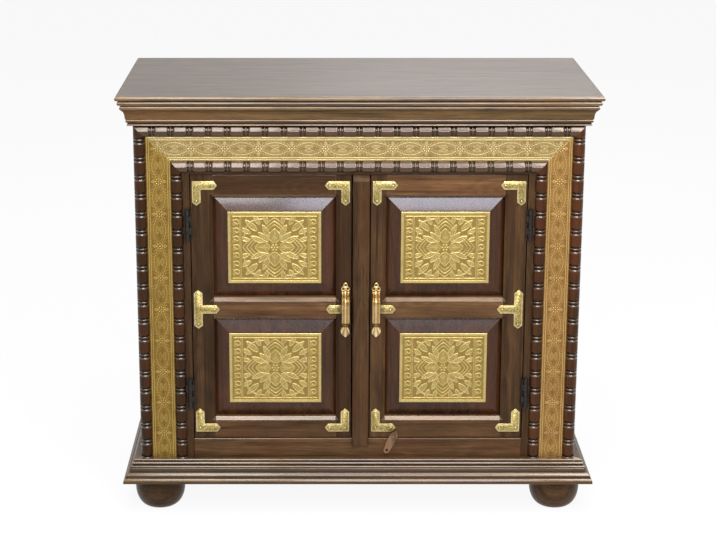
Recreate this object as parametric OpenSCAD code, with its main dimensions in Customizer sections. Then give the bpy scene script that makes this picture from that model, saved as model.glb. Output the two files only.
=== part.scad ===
// Two-door sideboard in dark wood with brass sheet bands, bobbin mouldings and bun feet.
// Millimetres. +Z is up and the doors face -Y. The origin is on the floor, under the middle of the box.

/* [Cabinet] */
// Width across the outer faces of the two sides
body_w = 900; // [780:5:1080]
// Depth from the face frame to the back
body_d = 430; // [360:5:520]
// Thickness of each side panel
side_t = 18; // [15:1:25]
// Thickness of the back panel
back_t = 9; // [6:1:15]
// Thickness of the face frame
frame_t = 22; // [18:1:28]
// Thickness of the bottom board and of the shelf
board_t = 15; // [12:1:22]
// Height of the shelf above the bottom board, as clear space
shelf_gap = 275; // [200:5:340]
// Distance from the front of the frame to the front edge of the shelf
shelf_setback = 60; // [50:5:120]
// Section of each cleat that carries the shelf
cleat_s = 18; // [12:1:24]
// Strip of frame that shows beside each door, between it and the inner bobbin
strip_w = 13; // [12:0.5:20]
// Strip of frame that shows above the doors
head_strip_h = 4; // [3:0.5:12]
// Height of bottom rail that shows between the base moulding and the doors
rail_show_h = 45.5; // [30:0.5:70]

/* [Feet] */
// Height of each bun foot
foot_h = 70; // [50:1:95]
// Largest radius of a foot
foot_r = 52; // [44:1:56]
// Radius of the flat that a foot stands on
foot_flat_r = 26; // [18:1:34]
// Distance from the front and side of the base moulding to the middle of a foot
foot_inset = 71; // [68:1:90]
// Radius of the dowel that holds a foot
dowel_r = 10; // [8:0.5:14]
// Length of that dowel
dowel_l = 30; // [20:1:45]
// Radial play of a dowel in its hole
dowel_play = 0.1; // [0.05:0.05:0.3]
// Space left in the hole past the end of a dowel
dowel_end_gap = 2; // [1:0.5:4]
// Height of the widest part of a foot
foot_belly = 43; // [30:1:45]
// How much a foot narrows above its widest part
foot_neck = 9; // [5:0.5:12]
// Width of the corner block that a foot is doweled into
block_w = 96; // [92:1:120]

/* [Top and mouldings] */
// Thickness of the top board
top_t = 29.5; // [24:0.5:36]
// How far the top board reaches past the carcass
top_over = 32; // [28:0.5:40]
// How much each lower tier of the top board's edge steps in
tier_in = 4.2; // [3:0.1:6]
// Height of the crown moulding under the top board
crown_h = 33; // [28:0.5:44]
// How far the crown moulding reaches out at its top
crown_out = 20.5; // [18:0.5:24]
// Height of the base moulding
base_h = 42; // [38:0.5:56]
// How far the base moulding reaches past the carcass
base_out = 36; // [34:0.5:44]

/* [Crown and base profiles] */
// Height of the crown's cove
crown_cove_h = 16; // [12:0.5:18]
// How far the crown's cove sweeps in
crown_cove_w = 6.5; // [4:0.5:8]
// Height of the fillet under that cove
fillet_h = 6; // [4:0.5:8]
// How much the crown steps in under that fillet
fillet_step = 3; // [1:0.5:4]
// Small step between one member of a moulding and the next
quirk = 1.5; // [1:0.25:2]
// Radius of the upper bead of the base moulding
bead_a = 3.25; // [2.5:0.25:3.5]
// Radius of the lower bead
bead_b = 2; // [1.5:0.25:2.25]
// How far the lower bead stands out past the upper one
bead_step = 3; // [1:0.5:5]
// Groove beside each bead
bead_gap = 1; // [0.5:0.25:1.5]
// Width of the base moulding's cove
base_cove_w = 7; // [5:0.5:9]
// Height of that cove
base_cove_h = 5.5; // [4:0.5:6.5]
// Radius of the torus under the cove
torus_r = 4.5; // [3.5:0.25:5]
// Height of the square foot of the base moulding
plinth_h = 9.5; // [7:0.5:11]
// How far that foot stands out past the torus
plinth_step = 5.5; // [4:0.5:7]
// Radius of its upper edge
plinth_r = 2.5; // [1:0.5:3.5]

/* [Bobbins and brass bands] */
// Radius of a bobbin barrel, half the width of its strip
bobbin_r = 12; // [9:0.5:15]
// Distance from one ring of a bobbin strip to the next
bobbin_pitch = 37.5; // [30:0.5:48]
// Width of the thin ring between two barrels
ring_w = 5; // [4:0.5:8]
// Width of the groove on each side of a ring
groove_w = 2.75; // [2:0.25:4]
// How much lower a ring stands than a barrel
ring_drop = 0.5; // [0:0.1:1.5]
// Distance from the middle of the top bobbin strip to the first ring of the upright ones
bobbin_start = 17.5; // [12:0.5:24]
// Width of the brass band between the two bobbin strips
band_w = 49; // [36:0.5:64]
// Thickness of the brass sheet on bands and plates
sheet_t = 1; // [0.8:0.1:2]

/* [Doors] */
// Height of a door
door_h = 560; // [480:5:640]
// Thickness of a door
door_t = 28; // [26:0.5:32]
// How far the doors sit back from the frame's face
door_recess = 4; // [1:0.5:6]
// Gap above, below and at the hinge side of a door
door_gap = 1.5; // [1:0.1:3]
// Gap between a door and the centre post
meet_gap = 2.5; // [2.4:0.1:4]
// Face width of the stile on the hinge side
hinge_stile_w = 36.5; // [30:0.5:50]
// Face width of the stile on the handle side
meet_stile_w = 24; // [22:0.5:40]
// Face height of the top rail
top_rail_h = 41; // [30:0.5:60]
// Face height of the middle rail
mid_rail_h = 33.5; // [24:0.5:50]
// Face height of the bottom rail of a door
low_rail_h = 37.5; // [34:0.5:60]
// Width of the sloped sticking round each panel
stick_w = 7.5; // [5:0.5:10]
// Depth of that sticking
stick_d = 15; // [10:0.5:15]
// Plain lip between the sticking and the panel
lip_d = 2; // [1.5:0.5:3]
// Thickness of the tongue round a panel
tongue_t = 7; // [5:0.5:8]
// How deep that tongue sits in its groove
tongue_in = 7; // [5:0.5:10]
// Space left round the tongue for the panel to swell
swell_gap = 1; // [0.5:0.5:2]
// Width of the bevel round the raised field
bevel_w = 28.5; // [18:0.5:40]
// How far the field stands up from the bevel's foot
field_rise = 10; // [4:0.5:12]
// Margin of wood left round each brass plate
plate_margin = 0.75; // [0.25:0.25:6]

/* [Centre post] */
// Width of the post between the doors
post_w = 34; // [26:1:50]
// How far the post is set to the right of the middle
post_shift = 5; // [-10:1:10]
// How far the post stands in front of the frame
post_proud = 10; // [6:0.5:14]
// How far the post laps down over the bottom rail
post_lap = 12.5; // [8:0.5:20]
// Height of the bevel at the post's top
post_bevel = 12; // [6:0.5:20]

/* [Hinges and stops] */
// Height of a hinge
hinge_h = 63; // [50:1:76]
// Radius of a hinge barrel
barrel_r = 4.5; // [4:0.1:5.5]
// Radius of a hinge pin
pin_r = 2; // [1.5:0.1:2.4]
// Radial play of a pin in its barrel
pin_play = 0.06; // [0.04:0.01:0.1]
// Gap between two barrels of a hinge
barrel_gap = 0.3; // [0.2:0.1:0.6]
// Thickness of a hinge leaf
leaf_t = 1.5; // [1.2:0.1:2.2]
// Distance from the barrel's middle to the edge of the opening
barrel_in = 5; // [5:0.1:6.5]
// Gap between the barrel and the frame's face
barrel_lift = 0.3; // [0.2:0.1:1]
// Distance from the top of a door to the middle of its upper hinge
hinge_top = 102; // [80:1:160]
// Distance from the bottom of a door to the middle of its lower hinge
hinge_low = 99; // [80:1:160]
// Gap between a frame leaf and the barrels of the other leaf
barrel_clear = 0.4; // [0.2:0.1:0.8]
// Gap between a frame leaf and the inner bobbin
bobbin_clear = 0.5; // [0.2:0.1:2]
// Wood left behind the leaf that is let into a door's edge
leaf_stop = 5; // [3:0.5:10]
// Height of the head of a hinge pin
pin_head_h = 2; // [1:0.5:4]
// Size of each door stop behind the post, across
stop_w = 74; // [60:1:100]
// Height of each door stop
stop_h = 22; // [14:1:40]
// Depth of each door stop
stop_d = 14; // [10:1:20]
// Play between a shut door and its stop
stop_play = 0.4; // [0.2:0.1:1]
// Distance from the top or bottom of the opening to the nearer stop
stop_inset = 30; // [20:1:60]
// How much narrower than the post the stop's neck is, on each side
stop_neck_in = 1; // [0.5:0.5:4]

/* [Brass fittings] */
// Length of each arm of a corner bracket
corner_arm = 51; // [40:1:64]
// Width of the arms of every bracket
arm_w = 18; // [12:0.5:22]
// Length of the pointed end of an arm
arm_tip = 7; // [4:0.5:12]
// Thickness of the brackets
bracket_t = 2; // [1.2:0.1:3]
// Distance from a door's edge to its brackets, at the sides
bracket_side = 3; // [2:0.5:6]
// Distance from a door's edge to its brackets, above and below
bracket_end = 12.5; // [12:0.5:16]
// Length of the upright of the bracket on the middle rail
tee_h = 83; // [60:1:100]
// Reach of that bracket's arm from its outer edge
tee_arm = 53; // [40:1:70]
// Length of the bracket arm beside the handle
side_arm = 33; // [30:1:50]
// Length of a handle
handle_l = 117; // [100:1:130]
// Widest part of a handle
handle_w = 20; // [16:0.5:21]
// Length of the grip between the two ends of a handle
grip_l = 66; // [56:1:76]
// Width of the grip
grip_w = 17; // [12:0.5:19]
// Thickness of the grip
grip_t = 9; // [6:0.5:12]
// Finger space behind the grip
finger_gap = 16; // [12:0.5:20]
// Thickness of the ends that lie on the door
handle_end_t = 4; // [3:0.5:6]
// Distance from the door's edge to the middle of the handle
handle_in = 11.5; // [11:0.5:16]
// Radius of the posts that carry the grip
handle_post_r = 5; // [3.5:0.5:6]
// How far the parts of one casting run into each other
cast_lap = 2; // [1:0.5:3]
// How far the plain bracket arm reaches under the grip
grip_lap = 1; // [0:0.5:4]

/* [Turn button] */
// Length of the turn button
button_l = 54; // [44:1:64]
// Width of the turn button
button_w = 17; // [12:0.5:20]
// Thickness of the turn button in front of the frame
button_t = 5; // [4:0.5:8]
// Gap between the turn button and what it turns over
button_gap = 0.4; // [0.3:0.1:1]
// Distance from the centre post to the button's pivot
button_x = 52; // [48:1:90]
// Height of the button's pivot above the door's lower edge
button_z = 5.5; // [5:0.5:6.5]
// Lean of the button from upright
button_lean = 24; // [0:1:40]
// Distance from the pivot to the button's upper point
button_head = 12.5; // [8:0.5:13]
// Radius of the open hole near the button's lower end
button_hole_r = 2.2; // [1.5:0.1:3]
// Distance from the button's lower end to that hole
button_hole_up = 8; // [6:0.5:12]
// Radius of the heel between the button and the door
heel_r = 4; // [3:0.5:4.5]
// Radius of the brad that it turns on
brad_r = 1.5; // [1:0.1:2]
// Radial play of the button on the brad
brad_play = 0.08; // [0.05:0.01:0.1]
// Length of the brad in the door
brad_l = 14; // [10:1:20]
// Thickness of the brad's head
brad_head_t = 1.2; // [0.8:0.1:2]
// Radius of the brad's head
brad_head_r = 3; // [2.5:0.1:4]

/* [Hidden] */

$fn = 64;
arc_steps = 5;

walnut = "#4a2f22";
trim_wood = "#54382a";
inside_wood = "#7b5a3f";
sheet_brass = "#c3a24e";
cast_brass = "#d0ae55";
dark_iron = "#2c2a28";
raw_wood = "#a98a6c";

// Levels, from the floor up
base_top = foot_h + base_h;
open_low = base_top + rail_show_h;
open_high = open_low + door_h + 2 * door_gap;
strip_top = open_high + head_strip_h;
bobbin_w = 2 * bobbin_r;
inner_top = strip_top + bobbin_w;
band_top = inner_top + band_w;
crown_low = band_top + bobbin_w;
top_low = crown_low + crown_h;
total_h = top_low + top_t;

// Places across and along the depth
half_w = body_w / 2;
outer_in = half_w - bobbin_w;
band_in = outer_in - band_w;
inner_in = band_in - bobbin_w;
open_half = inner_in - strip_w;
back_y = (body_d + base_out) / 2;
face_y = back_y - body_d;
frame_back = face_y + frame_t;
door_y = face_y + door_recess;
door_back = door_y + door_t;
foot_x = half_w + base_out - foot_inset;
foot_front_y = face_y - base_out + foot_inset;
foot_back_y = back_y - foot_inset + base_out / 2;
post_x = [post_shift - post_w / 2, post_shift + post_w / 2];
ring_level = band_top + bobbin_r - bobbin_start;

// The floor of the cupboard and its shelf
floor_top = open_low;
shelf_low = floor_top + shelf_gap;

// Each door: the side it hinges on is its hand, -1 for left and 1 for right
function hinge_edge(hand) = hand * (open_half - door_gap);
function meet_edge(hand) = hand < 0 ? post_x[0] - meet_gap : post_x[1] + meet_gap;
function panel_outer(hand) = hinge_edge(hand) - hand * hinge_stile_w;
function panel_inner(hand) = meet_edge(hand) + hand * meet_stile_w;
door_low = open_low + door_gap;
door_high = door_low + door_h;
opening_h = (door_h - top_rail_h - mid_rail_h - low_rail_h) / 2;
lower_z = door_low + low_rail_h;
upper_z = lower_z + opening_h + mid_rail_h;
field_in = stick_w + bevel_w;
panel_d = stick_d + lip_d;
field_y = door_y + panel_d - field_rise;
barrel_y = face_y - barrel_r - barrel_lift;
barrel_x = open_half + barrel_in;
mid_rail_z = lower_z + opening_h + mid_rail_h / 2;
hinge_levels = [door_high - hinge_top - hinge_h / 2, door_low + hinge_low - hinge_h / 2];
knuckles = 5;
cut = 1;

// Shapes shared by several pieces

// Points of a round stretch of an outline, about [x, y], of radii rx and ry, from angle a0 to a1
function arc(x, y, rx, ry, a0, a1, steps = arc_steps) =
    [for (i = [0:steps]) let (a = a0 + (a1 - a0) * i / steps) [x + rx * cos(a), y + ry * sin(a)]];

// A block from one corner to the opposite one
module block(a, b) {
    low = [min(a[0], b[0]), min(a[1], b[1]), min(a[2], b[2])];
    high = [max(a[0], b[0]), max(a[1], b[1]), max(a[2], b[2])];
    translate(low) cube(high - low);
}

// An outline of [out, z] points drawn out along X, facing -Y
module run_x(outline, x0, x1, y) {
    translate([x0, y, 0]) rotate([90, 0, 90]) linear_extrude(x1 - x0)
        polygon([for (p = outline) [-p[0], p[1]]]);
}

// The same outline drawn out along Y, facing outwards on the given side
module run_y(outline, side, y0, y1) {
    translate([side * half_w, y1, 0]) rotate([90, 0, 0]) linear_extrude(y1 - y0)
        polygon([for (p = outline) [side * p[0], p[1]]]);
}

// What lies in front of the carcass, cut at 45 degrees at both corners
module front_mitre(out, low, high) {
    translate([0, 0, low]) linear_extrude(high - low) polygon([
        [-half_w, face_y], [half_w, face_y], [half_w + out, face_y - out], [-half_w - out, face_y - out]]);
}

// What lies beside the carcass, cut at 45 degrees at the front
module side_mitre(side, out, low, high) {
    translate([0, 0, low]) linear_extrude(high - low) polygon([
        [side * half_w, face_y], [side * half_w, back_y],
        [side * (half_w + out), back_y], [side * (half_w + out), face_y - out]]);
}

// A moulding across the front, mitred at its ends
module front_moulding(outline, out, low, high) {
    intersection() {
        run_x(outline, -half_w - out, half_w + out, face_y);
        front_mitre(out, low, high);
    }
}

// A moulding along one side, mitred at the front
module side_moulding(outline, side, out, low, high) {
    intersection() {
        run_y(outline, side, face_y - out, back_y);
        side_mitre(side, out, low, high);
    }
}

// Outlines of the three mouldings, as [out, z]
tier_h = top_t / 3;
tier_r = tier_h / 2;
top_outline = concat(
    [[0, total_h]],
    [for (i = [0:2], p = arc(top_over - i * tier_in - tier_r, total_h - (i + 0.5) * tier_h,
        tier_r, tier_r, 90, -75)) p],
    [[top_over - 2 * tier_in - tier_r, top_low], [0, top_low]]);

fillet_out = crown_out - crown_cove_w - quirk;
fillet_top = top_low - crown_cove_h - quirk;
neck_out = fillet_out - fillet_step;
crown_outline = concat(
    [[0, top_low], [crown_out, top_low]],
    arc(crown_out, top_low - crown_cove_h, crown_cove_w, crown_cove_h - bead_gap, 90, 180),
    arc(fillet_out - bead_gap, fillet_top - bead_gap, bead_gap, bead_gap, 90, 0, 2),
    [[fillet_out, fillet_top - fillet_h], [neck_out, fillet_top - fillet_h - quirk],
     [neck_out, crown_low + quirk], [neck_out - quirk, crown_low], [0, crown_low]]);

torus_x = base_out - plinth_step - torus_r;
bead_b_x = torus_x - base_cove_w + quirk - bead_b;
bead_a_x = bead_b_x + bead_b - bead_step - bead_a;
bead_b_z = base_top - 2 * bead_a - bead_gap - bead_b;
base_outline = concat(
    [[0, base_top]],
    arc(bead_a_x, base_top - bead_a, bead_a, bead_a, 90, -70),
    arc(bead_b_x, bead_b_z, bead_b, bead_b, 90, -80, 3),
    arc(torus_x, bead_b_z - bead_b - bead_gap - base_cove_h, base_cove_w, base_cove_h, 170, 262),
    arc(torus_x, foot_h + plinth_h + bead_gap + torus_r, torus_r, torus_r, 75, -75),
    [[base_out - plinth_r - quirk, foot_h + plinth_h]],
    arc(base_out - plinth_r, foot_h + plinth_h - plinth_r, plinth_r, plinth_r, 90, 0, 3),
    [[base_out, foot_h], [0, foot_h]]);

// Bobbin strips: half-round turnings, each barrel parted from the next by a groove, a thin ring and a groove
groove_r = bobbin_r - ring_drop - ring_w / 2;
shoulder = bobbin_r - groove_r;
ring_span = ring_w / 2 + groove_w + shoulder;

// The turned outline past one ring, from the barrel below it to the barrel above it
function ring_points(z) = concat(
    arc(groove_r, z - ring_span, shoulder, shoulder, 0, 90, 3),
    arc(groove_r, z, ring_w / 2, ring_w / 2, -90, 90, 4),
    arc(groove_r, z + ring_span, shoulder, shoulder, -90, 0, 3));

// A half-round strip along Z that reaches past low and high, with rings between those two at every pitch
// from the level ring_z. The barrels at its ends are left whole for a mitre.
module bobbin_strip(low, high, ring_z) {
    first = ceil((low - ring_z) / bobbin_pitch);
    last = floor((high - ring_z) / bobbin_pitch);
    reach = 2 * bobbin_w;
    rotate([0, 0, 180]) rotate_extrude(angle = 180) polygon(concat(
        [[0, low - reach], [bobbin_r, low - reach]],
        [for (i = [first:last], p = ring_points(ring_z + i * bobbin_pitch)) p],
        [[bobbin_r, high + reach], [0, high + reach]]));
}

// An upright strip at x, its top end cut to the mitre that rises outwards on that side
module upright_bobbin(side, x, high) {
    color(trim_wood) intersection() {
        translate([side * x, face_y, 0]) bobbin_strip(base_top + ring_w / 2, high - bobbin_w, ring_level);
        translate([side * x, face_y + cut, 0]) rotate([90, 0, 0]) linear_extrude(bobbin_w)
            polygon([[-bobbin_r, base_top], [bobbin_r, base_top],
                [bobbin_r, high - (side > 0 ? 0 : bobbin_w)], [-bobbin_r, high - (side > 0 ? bobbin_w : 0)]]);
    }
}

// A level strip with its middle at z, its ends cut to meet the upright ones whose outer edge is at reach
module level_bobbin(reach, z) {
    color(trim_wood) intersection() {
        translate([0, face_y, z]) rotate([0, 90, 0]) bobbin_strip(bobbin_w - reach, reach - bobbin_w, 0);
        translate([0, face_y + cut, z]) rotate([90, 0, 0]) linear_extrude(bobbin_w)
            polygon([[-reach, bobbin_r], [reach, bobbin_r],
                [reach - bobbin_w, -bobbin_r], [-reach + bobbin_w, -bobbin_r]]);
    }
}

// Carcass

module top_board() {
    color(walnut) union() {
        block([-half_w, face_y, top_low], [half_w, back_y, total_h]);
        front_moulding(top_outline, top_over, top_low, total_h);
        side_moulding(top_outline, -1, top_over, top_low, total_h);
        side_moulding(top_outline, 1, top_over, top_low, total_h);
    }
}

module crown_front() {
    color(trim_wood) front_moulding(crown_outline, crown_out, crown_low, top_low);
}

module crown_side(side) {
    color(trim_wood) side_moulding(crown_outline, side, crown_out, crown_low, top_low);
}

module base_front() {
    color(trim_wood) front_moulding(base_outline, base_out, foot_h, base_top);
}

module base_side(side) {
    color(trim_wood) side_moulding(base_outline, side, base_out, foot_h, base_top);
}

module side_panel(side) {
    color(walnut) block([side * (half_w - side_t), frame_back, foot_h], [side * half_w, back_y, top_low]);
}

module back_panel() {
    color(inside_wood)
        block([side_t - half_w, back_y - back_t, foot_h], [half_w - side_t, back_y, top_low]);
}

module bottom_board() {
    color(inside_wood)
        block([side_t - half_w, frame_back, floor_top - board_t],
            [half_w - side_t, back_y - back_t, floor_top]);
}

module shelf() {
    color(inside_wood)
        block([side_t - half_w, face_y + shelf_setback, shelf_low],
            [half_w - side_t, back_y - back_t, shelf_low + board_t]);
}

module shelf_cleats() {
    color(inside_wood) for (side = [-1, 1])
        block([side * (half_w - side_t - cleat_s), face_y + shelf_setback, shelf_low - cleat_s],
            [side * (half_w - side_t), back_y - back_t, shelf_low]);
}

module frame_stile(side) {
    color(walnut) block([side * open_half, face_y, foot_h], [side * half_w, frame_back, top_low]);
}

module frame_header() {
    color(walnut) block([-open_half, face_y, open_high], [open_half, frame_back, top_low]);
}

module bottom_rail() {
    color(walnut) block([-open_half, face_y, foot_h], [open_half, frame_back, open_low]);
}

// The post stands between the rails, with a face that laps over the bottom rail and is bevelled at its top
module centre_post() {
    color(walnut) union() {
        block([post_x[0], face_y, open_low], [post_x[1], door_back, open_high]);
        translate([post_x[0], 0, 0]) rotate([90, 0, 90]) linear_extrude(post_w) polygon([
            [face_y, open_low - post_lap], [face_y, open_high],
            [face_y - post_proud, open_high - post_bevel], [face_y - post_proud, open_low - post_lap]]);
    }
}

module brass_band_side(side) {
    color(sheet_brass) translate([0, face_y, 0]) rotate([90, 0, 0]) linear_extrude(sheet_t)
        polygon([[side * outer_in, base_top], [side * outer_in, band_top],
            [side * band_in, inner_top], [side * band_in, base_top]]);
}

module brass_band_top() {
    color(sheet_brass) translate([0, face_y, 0]) rotate([90, 0, 0]) linear_extrude(sheet_t)
        polygon([[-outer_in, band_top], [outer_in, band_top], [band_in, inner_top], [-band_in, inner_top]]);
}

// A bun foot with its dowel
module foot(x, y) {
    color(walnut) translate([x, y, 0]) rotate_extrude() polygon(concat(
        [[0, 0]],
        arc(foot_flat_r, foot_belly, foot_r - foot_flat_r, foot_belly, -90, 0, 10),
        arc(foot_r - foot_neck, foot_belly, foot_neck, foot_h - foot_belly, 18, 90, 5),
        [[dowel_r, foot_h], [dowel_r, foot_h + dowel_l], [0, foot_h + dowel_l]]));
}

// Four corner blocks, each bored for a foot's dowel
module foot_blocks() {
    inner = half_w - side_t;
    rows = [[frame_back, foot_front_y], [back_y - back_t - block_w, foot_back_y]];
    color(inside_wood) for (side = [-1, 1], row = rows)
        difference() {
            block([side * inner, row[0], foot_h],
                [side * (inner - block_w), row[0] + block_w, floor_top - board_t]);
            translate([side * foot_x, row[1], foot_h - cut])
                cylinder(h = dowel_l + dowel_end_gap + cut, r = dowel_r + dowel_play);
        }
}

// Two stops fixed behind the post, which both doors shut against
module door_stops() {
    color(inside_wood) for (z = [open_high - stop_inset - stop_h, open_low + stop_inset])
        union() {
            block([post_shift - stop_w / 2, door_back + stop_play, z],
                [post_shift + stop_w / 2, door_back + stop_play + stop_d, z + stop_h]);
            block([post_x[0] + stop_neck_in, door_back, z],
                [post_x[1] - stop_neck_in, door_back + stop_play, z + stop_h]);
        }
}

// Hinges: five barrels each, the odd ones on the frame's leaf

knuckle_h = (hinge_h - (knuckles - 1) * barrel_gap) / knuckles;

// Every second barrel place of a hinge that stands at z, from the place named first
module barrel_stack(z, first) {
    for (i = [first:2:knuckles - 1])
        translate([0, 0, z + i * (knuckle_h + barrel_gap)]) children();
}

// The barrels themselves, on the hinge's axis
module barrels(hand, z, first) {
    barrel_stack(z, first) translate([hand * barrel_x, barrel_y, 0]) cylinder(h = knuckle_h, r = barrel_r);
}

// The bore for a pin, through all the barrels of a hinge
module pin_bore(hand, z) {
    translate([hand * barrel_x, barrel_y, z - cut])
        cylinder(h = hinge_h + 2 * cut, r = pin_r + pin_play);
}

// The outer edge of a frame leaf, just clear of the inner bobbin
function leaf_edge(hand) = hand * (inner_in - bobbin_clear);

module hinge_frame_leaves() {
    color(dark_iron) for (hand = [-1, 1], z = hinge_levels)
        difference() {
            union() {
                barrels(hand, z, 0);
                barrel_stack(z, 0)
                    block([hand * barrel_x, face_y - leaf_t, 0], [leaf_edge(hand), face_y, knuckle_h]);
                block([hand * (barrel_x + barrel_r + barrel_clear), face_y - leaf_t, z],
                    [leaf_edge(hand), face_y, z + hinge_h]);
            }
            pin_bore(hand, z);
        }
}

module hinge_pins() {
    color(dark_iron) for (hand = [-1, 1], z = hinge_levels)
        translate([hand * barrel_x, barrel_y, z]) union() {
            cylinder(h = hinge_h, r = pin_r);
            translate([0, 0, hinge_h]) cylinder(h = pin_head_h, r = (pin_r + barrel_r) / 2);
        }
}

// The door's leaf is let into the door's edge, with a fin that reaches forward to its barrels
leaf_back = door_back - leaf_stop;

module hinge_door_leaves(hand) {
    edge = hinge_edge(hand);
    inner = edge - hand * leaf_t;
    color(dark_iron) for (z = hinge_levels)
        difference() {
            union() {
                block([edge, barrel_y - leaf_t, z], [inner, leaf_back, z + hinge_h]);
                barrel_stack(z, 1)
                    block([hand * barrel_x, barrel_y - leaf_t, 0], [inner, barrel_y + leaf_t, knuckle_h]);
                barrels(hand, z, 1);
            }
            pin_bore(hand, z);
        }
}

// Doors

// The sloped opening in front of a panel: cut from the stiles and rails round it
module sticking_cut(hand, z) {
    x0 = min(panel_outer(hand), panel_inner(hand));
    x1 = max(panel_outer(hand), panel_inner(hand));
    slope = stick_w / stick_d;
    lead = cut * slope;
    intersection() {
        translate([0, 0, z - cut]) linear_extrude(opening_h + 2 * cut) polygon([
            [x0 - lead, door_y - cut], [x1 + lead, door_y - cut],
            [x1 - stick_w, door_y + stick_d], [x0 + stick_w, door_y + stick_d]]);
        translate([x0 - cut, 0, 0]) rotate([90, 0, 90]) linear_extrude(x1 - x0 + 2 * cut) polygon([
            [door_y - cut, z - lead], [door_y - cut, z + opening_h + lead],
            [door_y + stick_d, z + opening_h - stick_w], [door_y + stick_d, z + stick_w]]);
    }
}

// The groove that holds a panel's tongue
module tongue_groove(hand, z) {
    in = tongue_in + swell_gap - stick_w;
    x0 = min(panel_outer(hand), panel_inner(hand)) - in;
    x1 = max(panel_outer(hand), panel_inner(hand)) + in;
    block([x0, door_y + panel_d, z - in], [x1, door_y + panel_d + tongue_t, z + opening_h + in]);
}

module door_cuts(hand) {
    for (z = [lower_z, upper_z]) {
        sticking_cut(hand, z);
        tongue_groove(hand, z);
    }
}

module hinge_stile(hand) {
    color(walnut) difference() {
        block([hinge_edge(hand), door_y, door_low],
            [panel_outer(hand) - hand * stick_w, door_back, door_high]);
        door_cuts(hand);
        for (z = hinge_levels)
            block([hinge_edge(hand) + hand * cut, door_y - cut, z],
                [hinge_edge(hand) - hand * leaf_t, leaf_back, z + hinge_h]);
    }
}

module meeting_stile(hand) {
    color(walnut) difference() {
        block([meet_edge(hand), door_y, door_low],
            [panel_inner(hand) + hand * stick_w, door_back, door_high]);
        door_cuts(hand);
    }
}

// A rail between the stiles, from z0 to z1, with its sticking lips
module door_rail(hand, z0, z1) {
    color(walnut) difference() {
        block([panel_outer(hand) - hand * stick_w, door_y, z0],
            [panel_inner(hand) + hand * stick_w, door_back, z1]);
        door_cuts(hand);
    }
}

module top_rail(hand) {
    door_rail(hand, door_high - top_rail_h - stick_w, door_high);
}

module middle_rail(hand) {
    door_rail(hand, lower_z + opening_h - stick_w, upper_z + stick_w);
}

module bottom_door_rail(hand) {
    difference() {
        door_rail(hand, door_low, lower_z + stick_w);
        if (hand > 0)
            translate([button_pivot[0], door_y + brad_l, button_pivot[1]]) rotate([90, 0, 0])
                cylinder(h = brad_l + cut, r = brad_r);
    }
}

// A raised and fielded panel with a tongue all round
module raised_panel(hand, z) {
    x0 = min(panel_outer(hand), panel_inner(hand)) + stick_w;
    x1 = max(panel_outer(hand), panel_inner(hand)) - stick_w;
    z0 = z + stick_w;
    z1 = z + opening_h - stick_w;
    back = door_y + panel_d;
    color(walnut) union() {
        block([x0 - tongue_in, back, z0 - tongue_in], [x1 + tongue_in, back + tongue_t, z1 + tongue_in]);
        intersection() {
            translate([0, 0, z0]) linear_extrude(z1 - z0) polygon([
                [x0, back], [x1, back], [x1 - bevel_w, field_y], [x0 + bevel_w, field_y]]);
            translate([x0, 0, 0]) rotate([90, 0, 90]) linear_extrude(x1 - x0) polygon([
                [back, z0], [back, z1], [field_y, z1 - bevel_w], [field_y, z0 + bevel_w]]);
        }
    }
}

// The two brass plates of a door, each on the field of a panel
module brass_plates(hand) {
    m = field_in + plate_margin;
    x0 = min(panel_outer(hand), panel_inner(hand)) + m;
    x1 = max(panel_outer(hand), panel_inner(hand)) - m;
    color(sheet_brass) for (z = [lower_z, upper_z])
        block([x0, field_y - sheet_t, z + m], [x1, field_y, z + opening_h - m]);
}

// Outline of one bracket arm along +X from 0 to reach, pointed at its end
function arm_outline(reach) = [
    [0, -arm_w / 2], [reach - arm_tip, -arm_w / 2], [reach, 0], [reach - arm_tip, arm_w / 2], [0, arm_w / 2]];

// A flat fitting on the face of a door, its outline given as seen from the front
module on_door(x, z) {
    translate([x, door_y, z]) rotate([90, 0, 0]) linear_extrude(bracket_t) children();
}

// An angle bracket with its corner at the origin and arms towards +X and +Y, turned by sx and sy
module corner_outline(sx, sy) {
    polygon([for (p = arm_outline(corner_arm)) [sx * p[0], sy * (p[1] + arm_w / 2)]]);
    polygon([for (p = arm_outline(corner_arm)) [sx * (p[1] + arm_w / 2), sy * p[0]]]);
}

module brackets(hand) {
    outer = hinge_edge(hand) - hand * bracket_side;
    inner = meet_edge(hand) + hand * bracket_side;
    color(cast_brass) {
        for (x = [outer, inner], z = [door_low + bracket_end, door_high - bracket_end])
            on_door(x, z) corner_outline(x == outer ? -hand : hand, z < mid_rail_z ? 1 : -1);
        on_door(outer - hand * arm_w / 2, mid_rail_z) union() {
            polygon([for (p = arm_outline(tee_h / 2)) [p[1], p[0]]]);
            polygon([for (p = arm_outline(tee_h / 2)) [p[1], -p[0]]]);
            polygon([for (p = arm_outline(tee_arm - arm_w / 2)) [-hand * p[0], p[1]]]);
        }
        on_door(meet_edge(hand) + hand * (handle_in + grip_w / 2 - grip_lap), mid_rail_z)
            polygon([for (p = arm_outline(side_arm)) [hand * p[0], p[1]]]);
    }
}

// The upper end of a handle, flat on the door and round at its tip
function handle_end_outline() = concat(
    arc(0, (handle_l - handle_w) / 2, handle_w / 2, handle_w / 2, 0, 180, 10),
    [for (side = [-1, 1]) [side * (grip_w / 2 - cast_lap), grip_l / 2 - cast_lap]]);

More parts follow.
